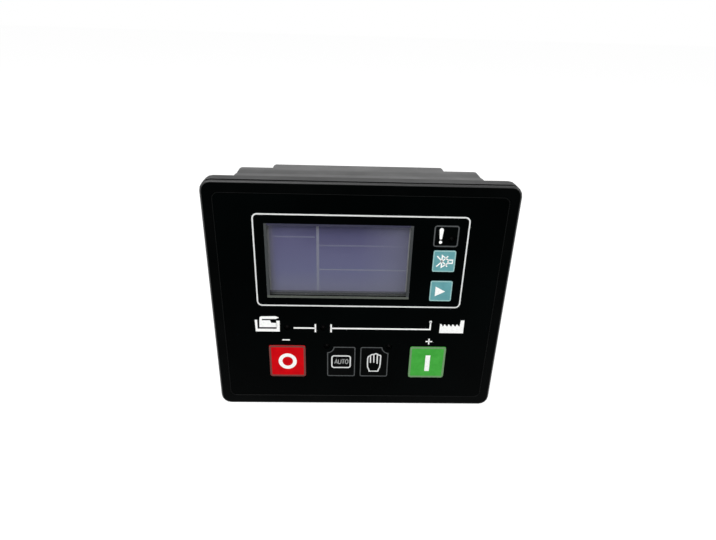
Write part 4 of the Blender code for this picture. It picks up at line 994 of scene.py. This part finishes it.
# Parts on the main board: controller chip, four relays, three current transformers and filter capacitor.
# They are bought parts in moulded epoxy, blue relay covers, cast resin and a shrunk plastic sleeve.
cover(moulded_finish("moulded_epoxy_chip", "#1a1a1b", "#242526", 0.55, 0.0005), "microcontroller")
cover(
    moulded_finish("blue_relay_cover", "#1f4f9a", "#2659a6", 0.35, 0.004),
    "fuel_relay",
    "crank_relay",
    "alarm_relay",
    "load_relay",
)
cover(
    moulded_finish("cast_transformer_resin", "#1c2a4a", "#24345a", 0.3, 0.006),
    "first_current_transformer",
    "second_current_transformer",
    "third_current_transformer",
)
cover(moulded_finish("shrunk_capacitor_sleeve", "#14161c", "#1d2029", 0.28, 0.003), "filter_capacitor")


# Terminals: two headers on the main board and the two plugs in them, with a screw clamp for each wire.
# Both are green polyamide with the chalky skin of a glass-filled moulding.
header_nylon = moulded_finish("green_polyamide_header", "#26703a", "#2f7c43", 0.5, 0.0015)
cover(header_nylon, "upper_header", "lower_header")
cover(moulded_finish("green_polyamide_plug", "#2b7a40", "#378a4c", 0.46, 0.0015), "upper_plug", "lower_plug")


# Rear housing: the deep shell behind the panel, a wide box that steps down to a narrower one.
# It is moulded in the same ABS as the front frame, with a flange in front that meets the frame.
# Its grain is coarsest on the flange and coarser again behind the shallow step, so those bands are duller.
HOUSING_BLACK = "#0b0c0d"
HOUSING_WORN = "#111213"
HOUSING_GRAIN_HEIGHT = 0.00004
HOUSING_SHEEN = 0.5
FLANGE_ROUGHNESS = 0.55
# Each change of grain: its start behind the panel's face, its length, and what it adds to the roughness.
GRAIN_CHANGES = ((0.0002, 0.0006, -0.13), (0.0270, 0.0015, 0.05), (0.0350, 0.0035, -0.07))
housing_abs = abs_finish(
    "moulded_black_abs_housing",
    HOUSING_BLACK,
    HOUSING_WORN,
    HOUSING_GRAIN_HEIGHT,
    HOUSING_SHEEN,
    FLANGE_ROUGHNESS,
)
tree = housing_abs.node_tree
shader = tree.nodes["Principled BSDF"]
place = tree.nodes["Texture Coordinate"].outputs["Object"]
depth = add_node(tree, "ShaderNodeSeparateXYZ", links={"Vector": place}).outputs["Y"]
roughness = shader.inputs["Roughness"].links[0].from_socket
for start, blend, change in GRAIN_CHANGES:
    step = add_node(
        tree,
        "ShaderNodeMapRange",
        {"From Min": start, "From Max": start + blend, "To Max": change},
        {"Value": depth},
    )
    changed = add_node(
        tree, "ShaderNodeMath", {"operation": "ADD"}, {0: roughness, 1: step.outputs["Result"]}
    )
    roughness = changed.outputs["Value"]
tree.links.new(roughness, shader.inputs["Roughness"])
cover(housing_abs, "rear_housing")


# Screws: twelve self-tapping screws, four from the rear through the case and four in each board.
# They are steel with a thin bright zinc plating, whose unevenness gives them a soft, patchy shine.
PLATING_PATCH = 0.0012
PLATING_SMOOTH, PLATING_ROUGH = 0.26, 0.44
zinc, tree, shader, place = start_finish("zinc_plated_steel", {"Metallic": 1.0})
plating = add_node(tree, "ShaderNodeTexNoise", {"Scale": 1 / PLATING_PATCH, "Detail": 4.0}, {"Vector": place})
plating_rough = add_node(
    tree,
    "ShaderNodeMapRange",
    {"From Min": 0.3, "From Max": 0.7, "To Min": PLATING_SMOOTH, "To Max": PLATING_ROUGH},
    {"Value": plating.outputs["Fac"]},
)
colour = add_node(
    tree,
    "ShaderNodeValToRGB",
    links={"Fac": plating.outputs["Fac"]},
    stops=[(0.3, "#a9adb2"), (0.7, "#c4c8cb")],
)
tree.links.new(colour.outputs["Color"], shader.inputs["Base Color"])
tree.links.new(plating_rough.outputs["Result"], shader.inputs["Roughness"])
SCREW_SETS = ("case_screw", "display_board_screw", "main_board_screw")
cover(zinc, *[f"{kind}_{number}" for kind in SCREW_SETS for number in range(1, 5)])


# Studio: a pale floor that reads as white paper, a white surround, and two soft lamps with a third behind.
# Camera, glossy and transmitted rays see the paper at full white; it lights the object less than that.
FLOOR_HEIGHT = CAD_BOX[0].z
FLOOR_HALF = 6.0
FLOOR_GLOW = 0.85
SURROUND_LIGHT = 0.35


def seen_directly(tree):
    """One for camera, glossy and transmitted rays, and nought for any other."""
    rays = add_node(tree, "ShaderNodeLightPath")
    seen = rays.outputs["Is Camera Ray"]
    for kind in ("Is Glossy Ray", "Is Transmission Ray"):
        either = {0: seen, 1: rays.outputs[kind]}
        seen = add_node(tree, "ShaderNodeMath", {"operation": "MAXIMUM"}, either).outputs["Value"]
    return seen


floor_mesh = bpy.data.meshes.new("paper_floor")
floor_mesh.from_pydata(
    [(x, y, FLOOR_HEIGHT) for x, y in ((-1, -1), (1, -1), (1, 1), (-1, 1))], [], [(0, 1, 2, 3)]
)
floor_mesh.transform(Matrix.Diagonal((FLOOR_HALF, FLOOR_HALF, 1, 1)))
floor = bpy.data.objects.new("paper_floor", floor_mesh)
bpy.context.scene.collection.objects.link(floor)
paper, tree, shader, place = start_finish(
    "white_paper_floor", {"Base Color": linear("#a8a8a8"), "Roughness": 0.9, "Specular IOR Level": 0.0}
)
glow = add_node(tree, "ShaderNodeMath", {"operation": "MULTIPLY", 1: FLOOR_GLOW}, {0: seen_directly(tree)})
tree.links.new(glow.outputs["Value"], shader.inputs["Emission Strength"])
shader.inputs["Emission Color"].default_value = (1, 1, 1, 1)
floor_mesh.materials.append(paper)

world = bpy.data.worlds.new("white_surround")
bpy.context.scene.world = world
world.use_nodes = True
tree = world.node_tree
level = add_node(
    tree,
    "ShaderNodeMapRange",
    {"To Min": SURROUND_LIGHT, "To Max": 1.0},
    {"Value": seen_directly(tree)},
)
surround = tree.nodes["Background"]
surround.inputs["Color"].default_value = (1, 1, 1, 1)
tree.links.new(level.outputs["Result"], surround.inputs["Strength"])


def soft_lamp(name, place, target, width, height, power):
    """A rectangular soft box that faces its target."""
    data = bpy.data.lights.new(name, "AREA")
    data.shape = "RECTANGLE"
    data.size = width
    data.size_y = height
    data.energy = power
    lamp_object = bpy.data.objects.new(name, data)
    bpy.context.scene.collection.objects.link(lamp_object)
    facing = (Vector(target) - Vector(place)).to_track_quat("-Z", "Y").to_matrix().to_4x4()
    lamp_object.matrix_world = Matrix.Translation(place) @ facing


soft_lamp("front_soft_box", (-0.35, -1.0, 0.75), (0, 0, 0), 1.0, 0.8, 13.6)
soft_lamp("side_soft_box", (1.0, -0.7, 0.6), (0, 0, 0), 0.7, 0.7, 4.0)
soft_lamp("rear_soft_box", (0.1, 1.1, 0.7), (0, 0.02, 0.05), 1.4, 0.6, 2.0)


# Camera: a phone-like wide lens held above and in front of the controller, looking down at it.
# Its place, turn and lens were solved from the frame's corners and the housing's steps in the photograph.
CAMERA_PLACE = (-0.0105, -0.26416, 0.12501)
CAMERA_YAW, CAMERA_PITCH, CAMERA_ROLL = -0.0417899, -0.5209966, -0.0315221
PICTURE_WIDTH = 716
PICTURE_HEIGHT = 540
FOCAL_PIXELS = 571.91
OPTICAL_AXIS_ROW = 342
SENSOR_WIDTH = 36.0
camera_data = bpy.data.cameras.new("camera")
camera_data.sensor_width = SENSOR_WIDTH
camera_data.sensor_fit = "HORIZONTAL"
camera_data.lens = FOCAL_PIXELS / PICTURE_WIDTH * SENSOR_WIDTH
camera_data.shift_y = (OPTICAL_AXIS_ROW - PICTURE_HEIGHT / 2) / PICTURE_WIDTH
camera_data.clip_start = 0.01
camera = bpy.data.objects.new("camera", camera_data)
bpy.context.scene.collection.objects.link(camera)
camera.matrix_world = (
    Matrix.Translation(CAMERA_PLACE)
    @ Matrix.Rotation(CAMERA_YAW, 4, "Z")
    @ Matrix.Rotation(CAMERA_PITCH, 4, "X")
    @ Matrix.Rotation(CAMERA_ROLL, 4, "Y")
    @ Matrix.Rotation(math.pi / 2, 4, "X")
)
bpy.context.scene.camera = camera
bpy.context.scene.view_settings.view_transform = "Standard"
